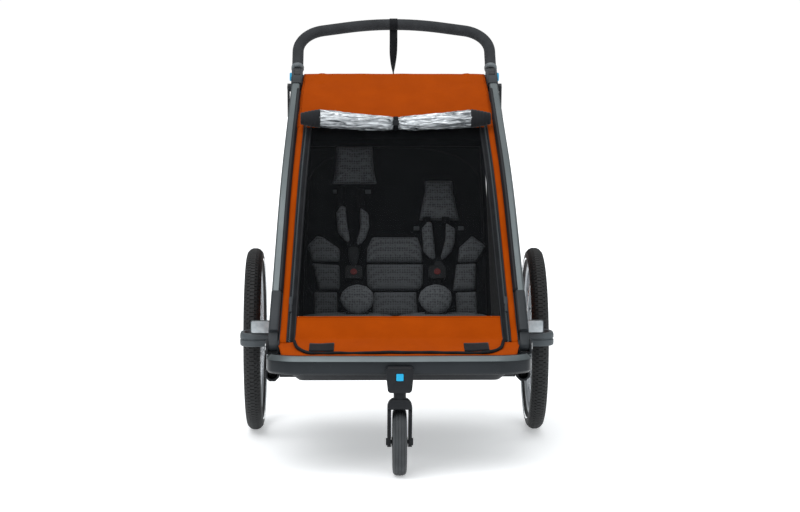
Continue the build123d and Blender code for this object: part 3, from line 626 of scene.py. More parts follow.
# ======================= handle and wrist strap =======================
def wrist_strap():
    """The strap hangs from the middle of the grip, its far end turned edge-on, with a small slider on it."""
    low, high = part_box("wrist_strap")
    middle_y = (low.y + high.y) / 2
    length = high.z - low.z
    route = [(0, 0), (0.0002, 0.03), (-0.0008, 0.07), (-0.0012, 0.11), (0.0006, 0.15), (-0.001, 0.19),
             (-0.003, 1)]
    points = [Vector((x, middle_y, high.z - min(down, length))) for x, down in route]
    data = bpy.data.curves.new("strap_route", "CURVE")
    data.dimensions = "3D"
    spline = data.splines.new("NURBS")
    spline.points.add(len(points) - 1)
    for target, point in zip(spline.points, points):
        target.co = (*point, 1)
    spline.order_u = 3
    spline.use_endpoint_u = True
    spline.resolution_u = 8
    guide = bpy.data.objects.new("strap_route", data)
    bpy.context.scene.collection.objects.link(guide)
    line = bpy.data.meshes.new_from_object(guide.evaluated_get(bpy.context.evaluated_depsgraph_get()))
    path = [vertex.co.copy() for vertex in line.vertices]
    bpy.data.objects.remove(guide)
    half, thin = 0.011, 0.0012
    rows = []
    for index, point in enumerate(path):
        down = index / (len(path) - 1)
        turn = radians(86) * max(0.0, min(1.0, (down - 0.14) / 0.40)) ** 1.4
        side = Vector((cos(turn), sin(turn), 0))
        up = Vector((-sin(turn), cos(turn), 0))
        cup = 0.0012 * sin(down * pi * 2)
        rows.append([point + side * s * half + up * (t * thin + cup * (1 - s * s))
                     for s, t in ((-1, 0), (-0.9, 1), (-0.3, 1), (0.3, 1), (0.9, 1), (1, 0), (0.9, -1),
                                  (0.3, -1), (-0.3, -1), (-0.9, -1))])
    strap = grid("wrist_strap_webbing", rows, "webbing", "handlebar", closed=True, caps=True)
    strap.data.shade_smooth()
    at = path[int(len(path) * 0.74)]
    slider = prism("wrist_strap_slider", [(-0.013, -0.006), (0.013, -0.006), (0.013, 0.006), (-0.013, 0.006)],
                   plane(at + Vector((-0.0022, 0, 0)), Vector((0, 1, 0)), Vector((0, 0, 1))), 0.0044, 0.0012,
                   "plastic_black", "handlebar")
    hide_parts("wrist_strap")
    return path[0]


STRAP_TOP = wrist_strap()


def bar_ring(name, x, length, radius, finish, tilt=0.0):
    """A sleeve round the middle of the grip."""
    centre = Vector((x, STRAP_TOP.y, STRAP_TOP.z + GRIP_R + 0.0004))
    half = length / 2
    profile = [(radius - 0.002, -half), (radius - 0.0006, -half), (radius, -half + 0.0006),
               (radius, half - 0.0006), (radius - 0.0006, half), (radius - 0.002, half)]
    return lathe(name, profile, centre, finish, "handlebar", 64)


def handle():
    dress_node("handlebar", "frame")
    dress_node("handlebar_grip", "foam")
    bar_ring("strap_loop", 0.0, 0.022, GRIP_R + 0.0016, "webbing")
    run = heading(HANDLE_ANGLE)
    for side, sign in SIDES.items():
        x = sign * leaning_x(HINGE, PILLAR_X)
        rows = []
        for along, radius in ((0.028, 0.0150), (0.0295, 0.0172), (0.036, 0.0176), (0.0395, 0.0170), (0.0405, 0.0158)):
            middle = Vector((x, HINGE.y, HINGE.z)) + run * along
            across = outward(HANDLE_ANGLE)
            rows.append([middle + Vector((1, 0, 0)) * radius * cos(a) + across * radius * sin(a)
                         for a in (2 * pi * k / 40 for k in range(40))])
        grid(f"grip_collar_{side}", rows, "plastic_light", "handlebar", closed=True, caps=True)
        dress_node(f"hinge_button_{side}", "blue")


def dress_node(name, finish):
    """A CAD part that stays as it is, with a better finish."""
    made = frame["nodes"][name]
    made.data.materials.clear()
    made.data.materials.append(MATERIALS[finish])


# ======================= wheels =======================
TREAD_ROWS = ((-0.0165, 0.0052), (-0.0096, 0.0058), (0.0, 0.0088), (0.0096, 0.0058), (0.0165, 0.0052))
TREAD_COUNT = 132
TYRE_HALF, CARCASS_R, BEAD_R = 0.0225, 0.2455, 0.204


def carcass_radius(x):
    """Radius of the tyre's casing at x across it."""
    share = min(abs(x) / TYRE_HALF, 1.0)
    return BEAD_R + 0.0205 + (CARCASS_R - BEAD_R - 0.0205) * sqrt(1 - share * share)


def rear_wheel(side):
    body, centre = f"wheel_{side}", AXLES[side]
    outer = [(carcass_radius(TYRE_HALF * sin(a)), TYRE_HALF * sin(a)) for a in
             (radians(-90 + 7.5 * k) for k in range(25))]
    wall = [(BEAD_R + 0.0205 - 0.0205 * (1 - cos(a)), TYRE_HALF - 0.0115 * (1 - cos(a)) * 1.02 + 0.0009 * sin(2 * a))
            for a in (radians(15 * k) for k in range(1, 7))]
    profile = outer + wall + [(BEAD_R - 0.002, 0.0112), (BEAD_R - 0.002, -0.0112)] \
        + [(r, -x) for r, x in reversed(wall)]
    tyre = lathe(f"tyre_casing_{side}", profile, centre, "tyre", body, 144)
    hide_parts(f"tyre_{side}")

    verts, faces = [], []
    for step in range(TREAD_COUNT):
        for row, (x, half) in enumerate(TREAD_ROWS):
            turn = 2 * pi * (step + 0.5 * (row % 2)) / TREAD_COUNT
            reach = 2 * pi / TREAD_COUNT * (0.40 if row != 2 else 0.43)
            base = len(verts)
            for level, spread in ((-0.0012, 1.0), (0.0017, 0.97), (0.0024, 0.86)):
                for dx, dt in ((-1, -1), (1, -1), (1, 1), (-1, 1)):
                    px = x + dx * half * spread * 0.5 * 1.5
                    px = max(-0.0218, min(0.0218, px))
                    r = carcass_radius(px) + level
                    a = turn + dt * reach * spread
                    verts.append(centre + Vector((px, r * cos(a), r * sin(a))))
            for ring in (0, 4):
                faces += [(base + ring + k, base + ring + (k + 1) % 4, base + ring + 4 + (k + 1) % 4,
                           base + ring + 4 + k) for k in range(4)]
            faces += [(base + 8, base + 9, base + 10, base + 11), (base + 3, base + 2, base + 1, base)]
    tread = piece(f"tread_blocks_{side}", verts, faces, "tyre", body, smooth=False)

    for face in (-1, 1):
        stripe = [(0.2155, face * 0.0201), (0.2195, face * 0.0219), (0.2195, face * 0.0224),
                  (0.2155, face * 0.0207)]
        lathe(f"sidewall_stripe_{side}_{'in' if face * SIDES[side] < 0 else 'out'}", stripe, centre, "reflector",
              body, 144)
    rim_profile = [(0.1945, -0.0095), (0.1945, 0.0095), (0.1985, 0.0128), (0.2080, 0.0134), (0.2098, 0.0126),
                   (0.2098, 0.0113), (0.2035, 0.0108), (0.2010, 0.0085), (0.2010, -0.0085), (0.2035, -0.0108),
                   (0.2098, -0.0113), (0.2098, -0.0126), (0.2080, -0.0134), (0.1985, -0.0128)]
    rim = lathe(f"rim_shape_{side}", rim_profile, centre, "rim", body, 144)
    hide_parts(f"rim_{side}")
    nipples(side, body, centre)
    dress_node(f"spokes_{side}", "spoke")
    finer(f"hub_{side}", body, 0.0006, "steel")
    sign = SIDES[side]
    cap = [(0.0, 0.0285), (0.008, 0.0285), (0.0105, 0.0268), (0.011, 0.0245), (0.011, 0.020), (0.0, 0.020)]
    lathe(f"hub_cap_{side}", [(r, sign * a) for r, a in cap], centre, "plastic_black", body, 48,
          closed_profile=False)


def nipples(side, body, centre):
    """Spoke nipples in the rim and a valve stem."""
    verts, faces = [], []
    for index in range(20):
        angle = 2 * pi * index / 20
        face = 1 if index % 2 else -1
        x0 = face * 0.004
        radial = Vector((0, cos(angle), sin(angle)))
        side_dir = Vector((0, -sin(angle), cos(angle)))
        base = len(verts)
        for r, half in ((0.1810, 0.0014), (0.1818, 0.0019), (0.1935, 0.0021), (0.1948, 0.0030)):
            verts += [centre + radial * r + Vector((x0, 0, 0)) + Vector((1, 0, 0)) * half * cos(a)
                      + side_dir * half * sin(a) for a in (2 * pi * k / 8 for k in range(8))]
        for ring in range(3):
            faces += [(base + ring * 8 + k, base + ring * 8 + (k + 1) % 8, base + ring * 8 + 8 + (k + 1) % 8,
                       base + ring * 8 + 8 + k) for k in range(8)]
        faces += [tuple(base + k for k in range(8))[::-1], tuple(base + 24 + k for k in range(8))]
    piece(f"spoke_nipples_{side}", verts, faces, "steel", body)
    angle = 2 * pi * 4.5 / 20
    radial = Vector((0, cos(angle), sin(angle)))
    across = Vector((0, -sin(angle), cos(angle)))
    rows = [[centre + radial * r + Vector((1, 0, 0)) * half * cos(a) + across * half * sin(a)
             for a in (2 * pi * k / 12 for k in range(12))]
            for r, half in ((0.196, 0.0032), (0.178, 0.0032), (0.177, 0.0045), (0.166, 0.0045), (0.1645, 0.0035))]
    grid(f"valve_{side}", rows, "plastic_black", body, closed=True, caps=True)


def front_wheel():
    radius = 0.082
    profile = [(0.0605, -0.0105), (0.0625, -0.0150), (0.0680, -0.0172), (0.0740, -0.0165), (0.0785, -0.0138),
               (0.0806, -0.0112), (0.0798, -0.0102), (0.0812, -0.0088), (0.0818, -0.0050), (0.0808, -0.0042),
               (0.0808, -0.0034), (radius, -0.0026), (radius, 0.0026), (0.0808, 0.0034), (0.0808, 0.0042),
               (0.0818, 0.0050), (0.0812, 0.0088), (0.0798, 0.0102), (0.0806, 0.0112), (0.0785, 0.0138),
               (0.0740, 0.0165), (0.0680, 0.0172), (0.0625, 0.0150), (0.0605, 0.0105)]
    tyre = lathe("caster_tyre_shape", profile, CASTER, "caster_rubber", "caster_wheel", 128)
    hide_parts("caster_tyre")
    finer("caster_rim", "caster_wheel", 0.0012, "plastic_black")
    finer("caster_fork", "caster_fork", 0.003, "plastic_black", 3)
    finer("front_wheel_mount", "chassis", 0.0022, "plastic_black", 3)
    dress_node("mount_button", "blue")


# ======================= frame =======================
def structure():
    bumper = finer("front_bumper", "chassis", 0.0022, "bumper", 3, 25)
    # Painted highlight: the upward-sloping chamfer faces take the lighter anodised finish, standing for the light from
    # above falling on the top of the bumper.
    bumper.data.materials.append(MATERIALS["alu"])
    for face in bumper.data.polygons:
        if 0.35 < face.normal.z < 0.93 and face.center.z > 0.276:
            face.material_index = 1
    for side in SIDES:
        finer(f"side_rail_{side}", "chassis", 0.002, "alu", 2)
        dress_node(f"pillar_{side}", "alu")
        finer(f"suspension_arm_{side}", f"arm_{side}", 0.0018, "plastic_black")
    finer("rear_crossbar", "chassis", 0.0012, "frame")
    finer("floor_tray", "chassis", 0.0016, "plastic_black")
    finer("receivers", "chassis", 0.0012, "plastic_black")
    finer("pivot_brackets", "chassis", 0.0012, "plastic_black")
    finer("suspension_mounts", "chassis", 0.0012, "plastic_black")
    finer("pillar_feet", "upper_frame", 0.0015, "plastic_hinge", 3)
    finer("hinge_caps", "upper_frame", 0.0022, "plastic_hinge", 3)
    finer("brace_lowers", "lower_braces", 0.0014, "frame")
    finer("brace_uppers", "upper_braces", 0.0014, "frame")
    finer("brake_pedal", "brake_pedal", 0.0016, "plastic_black")
    finer("pivot_pins", "chassis", 0.0006, "steel")
    dress_node("seat_tubes", "frame")
    dress_node("receiver_tube", "frame")
    dress_node("top_crossbar", "frame")
    finer("seat_pan", "chassis", 0.001, "plastic_black")
    dress_node("harness_buckles", "plastic_black")
    for side in SIDES:
        dress_node(f"buckle_button_{side}", "red")
        finer(f"zip_slider_{side}", f"zip_slider_{side}", 0.0009, "plastic_hinge")


def wheel_guards():
    """Moulded loops beside the wheels, with a groove round them, and reflectors on brackets."""
    height, half_h, half_w = 0.290, 0.017, 0.007
    section = []
    for s, u in ((-1, -0.72), (-0.72, -1), (0.55, -1), (0.92, -0.86), (1, -0.55), (1, -0.12), (0.62, -0.03),
                 (0.62, 0.09), (1, 0.18), (1, 0.62), (0.86, 0.9), (0.5, 1), (-0.6, 1), (-1, 0.8)):
        section.append((s * half_w, u * half_h))
    for side, sign in SIDES.items():
        corners = [(0.314, -0.103), (0.397, -0.118), (0.397, -0.022), (0.314, -0.022)]
        path = []
        bends = 9
        for index, (x, y) in enumerate(corners):
            if index in (0, 3):
                path.append(Vector((sign * x, y, height)))
                continue
            here = Vector((x, y, 0))
            first = (Vector((*corners[index - 1], 0)) - here).normalized()
            second = (Vector((*corners[index + 1], 0)) - here).normalized()
            half_angle = first.angle(second) / 2
            reach = 0.030 / tan(half_angle)
            centre = here + (first + second).normalized() * (0.030 / sin(half_angle))
            start, end = here + first * reach - centre, here + second * reach - centre
            for k in range(bends + 1):
                spoke = (start * (1 - k / bends) + end * (k / bends)).normalized() * 0.030
                path.append(Vector((sign * (centre.x + spoke.x), centre.y + spoke.y, height)))
        tangents = [(path[min(i + 1, len(path) - 1)] - path[max(i - 1, 0)]).normalized() for i in range(len(path))]
        outs = [Vector((t.y, -t.x, 0)) * sign for t in tangents]
        rows = [[p + o * s + Vector((0, 0, u)) for s, u in section] for p, o in zip(path, outs)]
        loop = grid(f"guard_loop_{side}", rows, "plastic_grey", None, closed=True, caps=True)
        sharpen(loop, 45)
        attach(loop, "chassis")
        foot = [(sign * 0.2995, -0.126), (sign * 0.3175, -0.126), (sign * 0.3175, -0.006), (sign * 0.2945, -0.006)]
        prism(f"guard_foot_{side}", foot, plane(Vector((0, 0, 0.268)), Vector((1, 0, 0)), Vector((0, 1, 0))),
              0.036, 0.004, "plastic_black", "chassis")
        if side == "right":
            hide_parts("wheel_guards")
        middle = Vector((sign * 0.350, -0.1125, 0.3246))
        face = plane(middle, Vector((1, 0, 0)), Vector((0, 0, 1)))
        prism(f"reflector_holder_{side}", rectangle(0.050, 0.034, 0.005), face, 0.0042, 0.001,
                       "plastic_grey", "chassis")
        lens = prism(f"reflector_lens_{side}", rectangle(0.046, 0.030, 0.004),
                     plane(middle + Vector((0, -0.0040, 0)), Vector((1, 0, 0)), Vector((0, 0, 1))), 0.0022, 0.0007,
                     "reflector", "chassis")
        if side == "right":
            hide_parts("front_reflectors")


def rectangle(width, height, corner, steps=5):
    """A rectangle's outline with rounded corners, about the origin."""
    points = []
    for cx, cy, start in ((1, 1, 0), (-1, 1, 90), (-1, -1, 180), (1, -1, 270)):
        for k in range(steps + 1):
            a = radians(start + 90 * k / steps)
            points.append((cx * (width / 2 - corner) + corner * cos(a), cy * (height / 2 - corner) + corner * sin(a)))
    return points


def pillar_trim():
    """Dark strips of painted shade down the inner edge of each pillar, and narrower ones below them, down to the foot.
    """
    profile = ((0.2915, 0.0108), (0.2955, 0.0118), (0.2966, 0.0225), (0.2980, 0.0240), (0.3040, 0.0240))
    for side, sign in SIDES.items():
        # Painted shade: a dark strip over the inner part of each pillar's face, where the pillar lies in shade.
        rows = [[cover_point(0.150 + 0.735 * k / 90, x, lift, sign) for x, lift in profile] for k in range(91)]
        grid(f"pillar_seal_{side}", rows, "plastic_black", "upper_frame", thickness=0.0012)
        # The same painted shade, narrower, down the lower pillar.
        low = [[cover_point(0.006 + 0.144 * k / 20, x, lift, sign) for x, lift in profile[:2]] for k in range(21)]
        grid(f"pillar_seal_low_{side}", low, "plastic_black", "upper_frame", thickness=0.0012)


# ======================= fabric between the frames =======================
COVER_X, COVER_LIFT = 0.2945, 0.0122
PANEL_T, WINDOW_T = 0.078, 0.728
STRIP_X, TEETH_X = 0.2925, 0.2695          # outer edge of the orange strips and the zip's teeth, at the pivot
ZIP_X, NET_X = 0.2755, 0.2555              # outer and inner edge of the zip trims, at the pivot


def wrinkle(point, size, reach, seed=0.0):
    """Small uneven lift of a cloth."""
    return reach * noise.noise(point * (1 / size) + Vector((seed, seed * 2, 0)))


def canopy():
    """The orange hood: up from the roll, over the top crossbar and down behind it, with sewn edges."""
    start, end = WINDOW_T - 0.006, TOP_T - 0.004
    tube_r = 0.0122
    middle = Vector((0, HINGE.y, HINGE.z - 0.004))
    back_drop = 0.055

    def at(u, v):
        across = 2 * u - 1
        width = COVER_X
        if v <= 0.72:
            t = start + (end - start) * v / 0.72
            width = COVER_X - 0.004 * max(0, (v - 0.35)) / 0.37
            point = cover_point(t, width, COVER_LIFT, across)
            top_z = middle.z + tube_r
            blend = max(0.0, (v - 0.5) / 0.22)
            if blend:
                target = middle + outward(UPPER) * tube_r
                base = Vector((point.x, point.y, point.z))
                target_point = Vector((point.x, target.y - (end - t) * cos(UPPER), target.z - (end - t) * sin(UPPER)))
                point = base.lerp(target_point, blend * blend * (3 - 2 * blend))
            point.z = min(point.z, top_z)
        else:
            turn = (v - 0.72) / 0.28
            width = leaning_x(Vector((0, middle.y, middle.z)), COVER_X - 0.004)
            arc = pi * 0.5 + UPPER
            if turn < 0.5:
                a = pi / 2 + UPPER - arc * turn / 0.5
                offset = Vector((0, tube_r * cos(a), tube_r * sin(a)))
            else:
                offset = Vector((0, tube_r, -back_drop * (turn - 0.5) / 0.5))
            point = Vector((width * across, middle.y + offset.y, middle.z + offset.z))
        edge = abs(across) ** 8
        sag = 0.0035 * sin(pi * min(v / 0.72, 1)) * (1 - across * across) if v < 0.72 else 0.0
        crease = wrinkle(Vector((across * 0.28, v * 0.3, 0.2)), 0.05, 0.0012)
        bump = 0.0022 * sum(max(0.0, 1 - ((across - c) / 0.035) ** 2) for c in (-0.8, 0.8)) if 0.6 < v < 0.9 else 0.0
        point += outward(UPPER) * (crease - sag - 0.001 * edge + bump)
        return point
    hood = surface("canopy_cloth", at, 64, 60, "orange_fabric", None, 0.0014)
    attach(hood, "upper_frame")
    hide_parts("canopy")
    for side, sign in SIDES.items():
        edge = [cover_point(start + (end - start) * k / 12, COVER_X - 0.006, COVER_LIFT + 0.0012, sign)
                for k in range(12)]
        pipe(f"canopy_hem_{side}", edge, 0.0011, "orange_fabric", "upper_frame")
    seam = [at(k / 40, 0.90) + Vector((0, 0.0012, 0)) for k in range(41)]
    pipe("canopy_back_seam", seam, 0.0009, "orange_fabric", "upper_frame")


def side_strips():
    """Orange cloth between each pillar and the zip, puckered near the foot."""
    for side, sign in SIDES.items():
        def at(u, v):
            t = 0.002 + (WINDOW_T + 0.03 - 0.002) * v
            low = max(0.0, 1 - v / 0.16)
            x = ZIP_X - 0.003 + (STRIP_X - ZIP_X + 0.003) * u
            point = cover_point(t, x, COVER_LIFT - 0.001, sign)
            _, angle = along_frame(t)
            puff = 0.002 * sin(pi * u) + wrinkle(point, 0.035, 0.0018 + 0.003 * low, 3.0) * sin(pi * u)
            return point + outward(angle) * puff
        strip = surface(f"side_strip_{side}", at, 8, 110, "orange_fabric", "upper_frame", 0.0012)


def zips():
    """Black tape with piping both sides, a row of teeth, and the net's binding."""
    for side, sign in SIDES.items():
        def tape(u, v):
            t = 0.004 + (WINDOW_T + 0.012) * v
            x = NET_X - 0.002 + (ZIP_X - NET_X + 0.004) * u
            point = cover_point(t, x, COVER_LIFT - 0.0006, sign)
            _, angle = along_frame(t)
            return point + outward(angle) * wrinkle(point, 0.05, 0.0004, 5.0)
        surface(f"zip_tape_{side}", tape, 6, 110, "webbing", "upper_frame", 0.0012)
        for name, x, radius in (("outer", ZIP_X - 0.001, 0.0021), ("inner", NET_X + 0.001, 0.0019)):
            line = [cover_point(0.004 + (WINDOW_T + 0.01) * k / 60, x, COVER_LIFT + 0.0026, sign)
                    for k in range(61)]
            pipe(f"zip_piping_{name}_{side}", line, radius, "plastic_black", "upper_frame")
        verts, faces = [], []
        pitch = 0.0032
        for k in range(int(WINDOW_T / pitch)):
            t = 0.006 + k * pitch
            centre = cover_point(t, TEETH_X + (0.0009 if k % 2 else -0.0009), COVER_LIFT + 0.0006, sign)
            _, angle = along_frame(t)
            run, up = heading(angle), outward(angle)
            base = len(verts)
            for h in (-0.0006, 0.0006):
                for a, b in ((-1, -1), (1, -1), (1, 1), (-1, 1)):
                    verts.append(centre + Vector((a * 0.0017, 0, 0)) + run * b * 0.0009 + up * h)
            faces += [(base, base + 1, base + 2, base + 3), (base + 4, base + 5, base + 6, base + 7)]
            faces += [(base + m, base + (m + 1) % 4, base + 4 + (m + 1) % 4, base + 4 + m) for m in range(4)]
        piece(f"zip_teeth_{side}", verts, faces, "plastic_grey", "upper_frame", smooth=False)


def window():
    """The net, held at its edges, a little slack in the middle."""
    def at(u, v):
        across = 2 * u - 1
        t = PANEL_T - 0.004 + (WINDOW_T + 0.022 - PANEL_T) * v
        point = cover_point(t, NET_X, COVER_LIFT - 0.0006, across)
        _, angle = along_frame(t)
        slack = 0.006 * sin(pi * v) * (1 - across * across)
        return point + outward(angle) * (wrinkle(point, 0.09, 0.0011, 9.0) - slack)
    net = surface("window_net", at, 48, 70, "mesh", "upper_frame", 0.0)
    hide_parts("front_window")


def flap_middle(v):
    """The front flap's line in the side view: down the frame, then forward over the bumper."""
    top, _ = along_frame(PANEL_T, COVER_LIFT + 0.0008)
    knee, _ = along_frame(0.012, COVER_LIFT + 0.0008)
    end = Vector((0, -0.414, 0.2935))
    if v < 0.5:
        return top.lerp(knee, v / 0.5)
    share = (v - 0.5) / 0.5
    control = knee.lerp(end, 0.5) + Vector((0, 0.006, -0.0035))
    return knee * (1 - share) ** 2 + control * 2 * share * (1 - share) + end * share ** 2


FLAP_CORNER = 0.055


def flap_point(across, v, lift=0.0):
    point = flap_middle(v)
    half = leaning_x(point, NET_X) + 0.001
    x = half * across
    billow = 0.004 * sin(pi * v) * (1 - across ** 2)
    creases = wrinkle(Vector((x * 0.6, v * 0.09, 0.0)), 0.028, 0.0024, 11.0) * (0.4 + v)
    corner = max(0.0, abs(across) - 0.72) / 0.28
    point = Vector((x, point.y, point.z)) + Vector((0, -0.55, 0.83)) * (billow + creases + lift)
    return point + Vector((0, 0.0, 0.004 * corner * v))


def flap_edge(across):
    """How far down the flap reaches at a place across it: full in the middle, rounded at the corners."""
    reach = 1.0 - 0.03 * (1 - abs(across))
    inset = max(0.0, abs(across) - 0.80) / 0.20
    return reach - 0.42 * (1 - sqrt(max(0.0, 1 - inset ** 2)))


def front_flap():
    """Orange panel under the window, its rounded lower edge bound in dark elastic, with hook patches."""
    def at(u, v):
        across = 2 * u - 1
        return flap_point(across, v * flap_edge(across))
    flap = surface("front_flap_cloth", at, 96, 32, "orange_fabric", None, 0.0014)
    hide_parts("front_panel")
    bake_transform(flap)
    trim = [flap_point(2 * k / 90 - 1, flap_edge(2 * k / 90 - 1), 0.0012) for k in range(91)]
    binding = pipe("flap_elastic", trim, 0.0042, "webbing", None)
    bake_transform(binding)
    for name, sign in (("left", -1), ("right", 1)):
        def patch(u, v):
            across = sign * (0.615 + 0.235 * u)
            return flap_point(across, 0.66 + 0.27 * v, 0.0016)
        hook = surface(f"hook_patch_{name}", patch, 12, 6, "lining", None, 0.0014)
        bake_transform(hook)
    top_hem = [flap_point(2 * k / 60 - 1, 0.01, 0.001) for k in range(61)]
    pipe("flap_top_binding", top_hem, 0.0016, "orange_fabric", "upper_frame")
    stitch = [flap_point(2 * k / 60 - 1, 0.07, 0.0004) for k in range(61)]
    pipe("flap_stitching", stitch, 0.0006, "orange_fabric", "upper_frame")


def apron():
    """Orange cloth behind the flap, down to the bumper and round to the feet."""
    def at(u, v):
        across = 2 * u - 1
        low = Vector((0, -0.428, 0.2865))
        high = Vector((0, -0.346, 0.3150))
        point = high.lerp(low, v)
        half = 0.2985 - 0.013 * v
        bend = 0.020 * max(0.0, abs(across) - 0.86) / 0.14 * v
        x = half * across
        point = Vector((x, point.y + bend, point.z + 0.0015 * sin(pi * v)))
        return point + Vector((0, -0.3, 0.9)) * wrinkle(Vector((x, v * 0.1, 0)), 0.03, 0.0018, 21.0)
    cloth_piece = surface("apron_cloth", at, 80, 12, "orange_fabric", "chassis", 0.0014)


# ======================= rain cover roll =======================
ROLL_X, ROLL_SPLIT = 0.252, 0.202


def roll_section(x):
    """Middle of the roll and its radius at x: it sags to the middle, where a strap pinches it."""
    share = min(abs(x) / ROLL_X, 1.0)
    middle, _ = along_frame(0.721, 0.042)
    dip = 0.0125 * (1 - min(share / 0.8, 1.0) ** 1.5)
    radius = 0.0172 + 0.0052 * min(share / 0.6, 1.0)
    radius -= 0.0040 * max(0.0, 1 - abs(x) / 0.022)
    if share > 0.8:
        radius -= 0.0095 * ((share - 0.8) / 0.2) ** 1.3
    return Vector((x, middle.y, middle.z - dip)), radius


def rain_roll():
    count = 72
    def ring(x, crumple, seed):
        centre, radius = roll_section(x)
        points = []
        for k in range(count):
            a = 2 * pi * k / count
            direction = Vector((0, cos(a), sin(a)))
            folds = noise.noise(Vector((x * 9, cos(a) * 2.4, sin(a) * 2.4 + seed)))
            fine = noise.noise(Vector((x * 60, cos(a) * 7, sin(a) * 7 + seed)))
            ridge = 1 - abs(noise.noise(Vector((x * 16 + 4, cos(a) * 4.2 + 7, sin(a) * 4.2 + seed)))) * 2
            points.append(centre + direction * (radius + crumple * (folds * 0.0018 + fine * 0.0013 + ridge * 0.0014)))
        return points
    for name, sign in (("left", -1), ("right", 1)):
        rows = [ring(sign * (0.003 + (ROLL_SPLIT - 0.003) * k / 110), 1.0, sign * 3.0) for k in range(111)]
        silver = grid(f"roll_film_{name}", rows, "clear_film", None, closed=True, caps=True)
        sharpen(silver, 28)
        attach(silver, "upper_frame")
        if sign > 0:
            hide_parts("rain_cover_roll")
        ends = []
        for k in range(31):
            x = sign * (ROLL_SPLIT - 0.003 + (ROLL_X - ROLL_SPLIT + 0.003) * k / 30)
            centre, radius = roll_section(x)
            rib = 0.0011 * abs(sin(pi * k / 5))
            ends.append([centre + Vector((0, cos(a), sin(a))) * (radius + 0.0014 + rib)
                         for a in (2 * pi * m / count for m in range(count))])
        grid(f"roll_end_{name}", ends, "black_fabric", "upper_frame", closed=True, caps=True)
    centre, radius = roll_section(0.0)
    strap = []
    for k in range(48):
        a = 2 * pi * k / 48
        strap.append(centre + Vector((0, cos(a), sin(a))) * (radius + 0.0042))
    sweep("roll_strap", strap, [(-0.0062, -0.0008), (0.0062, -0.0008), (0.0062, 0.0008), (-0.0062, 0.0008)],
          lambda i: Vector((1, 0, 0)), "webbing", "upper_frame", closed=True)
    slope_up = heading(UPPER)
    tab = plane(centre + Vector((0, -0.004, 0.0)) + slope_up * (radius + 0.016) + outward(UPPER) * -0.018,
                Vector((1, 0, 0)), slope_up)
    prism("roll_strap_tab", rectangle(0.030, 0.016, 0.002), tab, 0.0022, 0.0007, "webbing", "upper_frame")
    front = centre + Vector((0, -(radius + 0.0052), 0.002))
    prism("roll_strap_buckle", rectangle(0.017, 0.014, 0.003), plane(front, Vector((1, 0, 0)), Vector((0, 0, 1))),
          0.0036, 0.001, "plastic_black", "upper_frame")


# ======================= seats =======================
UP_SEAT = heading(SEAT_ANGLE)
seat_place = plane(SEAT, Vector((1, 0, 0)), UP_SEAT)


def seat_at(origin_height):
    return lambda x, y, h=0.0: seat_place(x, y, h + origin_height)


BACK_PADS = {
    "left_top": [(-0.239, 0.212), (-0.214, 0.240), (-0.196, 0.236), (-0.151, 0.203), (-0.151, 0.168), (-0.226, 0.168)],
    "left_middle": [(-0.226, 0.163), (-0.151, 0.158), (-0.151, 0.088), (-0.208, 0.088)],
    "left_low": [(-0.220, 0.083), (-0.157, 0.083), (-0.157, 0.014), (-0.220, 0.014)],
    "centre_top": [(-0.062, 0.236), (0.062, 0.236), (0.074, 0.205), (0.076, 0.165), (-0.078, 0.165), (-0.076, 0.205)],
    "centre_middle": [(-0.078, 0.160), (0.078, 0.160), (0.076, 0.100), (0.064, 0.087), (-0.064, 0.087), (-0.076, 0.100)],
    "centre_low": [(-0.058, 0.082), (0.058, 0.082), (0.062, 0.014), (-0.062, 0.014)],
    "right_top": [(0.176, 0.206), (0.212, 0.240), (0.250, 0.210), (0.224, 0.166), (0.172, 0.164)],
    "right_middle": [(0.168, 0.160), (0.222, 0.162), (0.219, 0.088), (0.158, 0.084)],
    "right_low": [(0.166, 0.081), (0.222, 0.083), (0.224, 0.014), (0.168, 0.014)],
}


def puff(made, pressure, cap, frames=14):
    """Cloth simulation that swells a cushion off the pan under it, with a limit on how far any point moves."""
    rest = [vertex.co.copy() for vertex in made.data.vertices]
    cloth_mod = made.modifiers.new("cloth", "CLOTH")
    settings = cloth_mod.settings
    settings.use_pressure = True
    settings.uniform_pressure_force = pressure
    settings.effector_weights.gravity = 0
    settings.quality = 4
    settings.tension_stiffness = settings.compression_stiffness = 25
    settings.bending_stiffness = 1.0
    cloth_mod.point_cache.frame_start, cloth_mod.point_cache.frame_end = 1, frames
    cloth_mod.collision_settings.use_collision = False
    scene = bpy.context.scene
    for step in range(1, frames + 1):
        scene.frame_set(step)
    shaped = bpy.data.meshes.new_from_object(made.evaluated_get(bpy.context.evaluated_depsgraph_get()))
    moved = [vertex.co.copy() for vertex in shaped.vertices]
    made.modifiers.clear()
    for vertex, before, after in zip(made.data.vertices, rest, moved):
        shift = after - before
        shift.z = max(shift.z, 0.0)
        if shift.length > cap:
            shift *= cap / shift.length
        vertex.co = before + shift
    scene.frame_set(1)
    return made


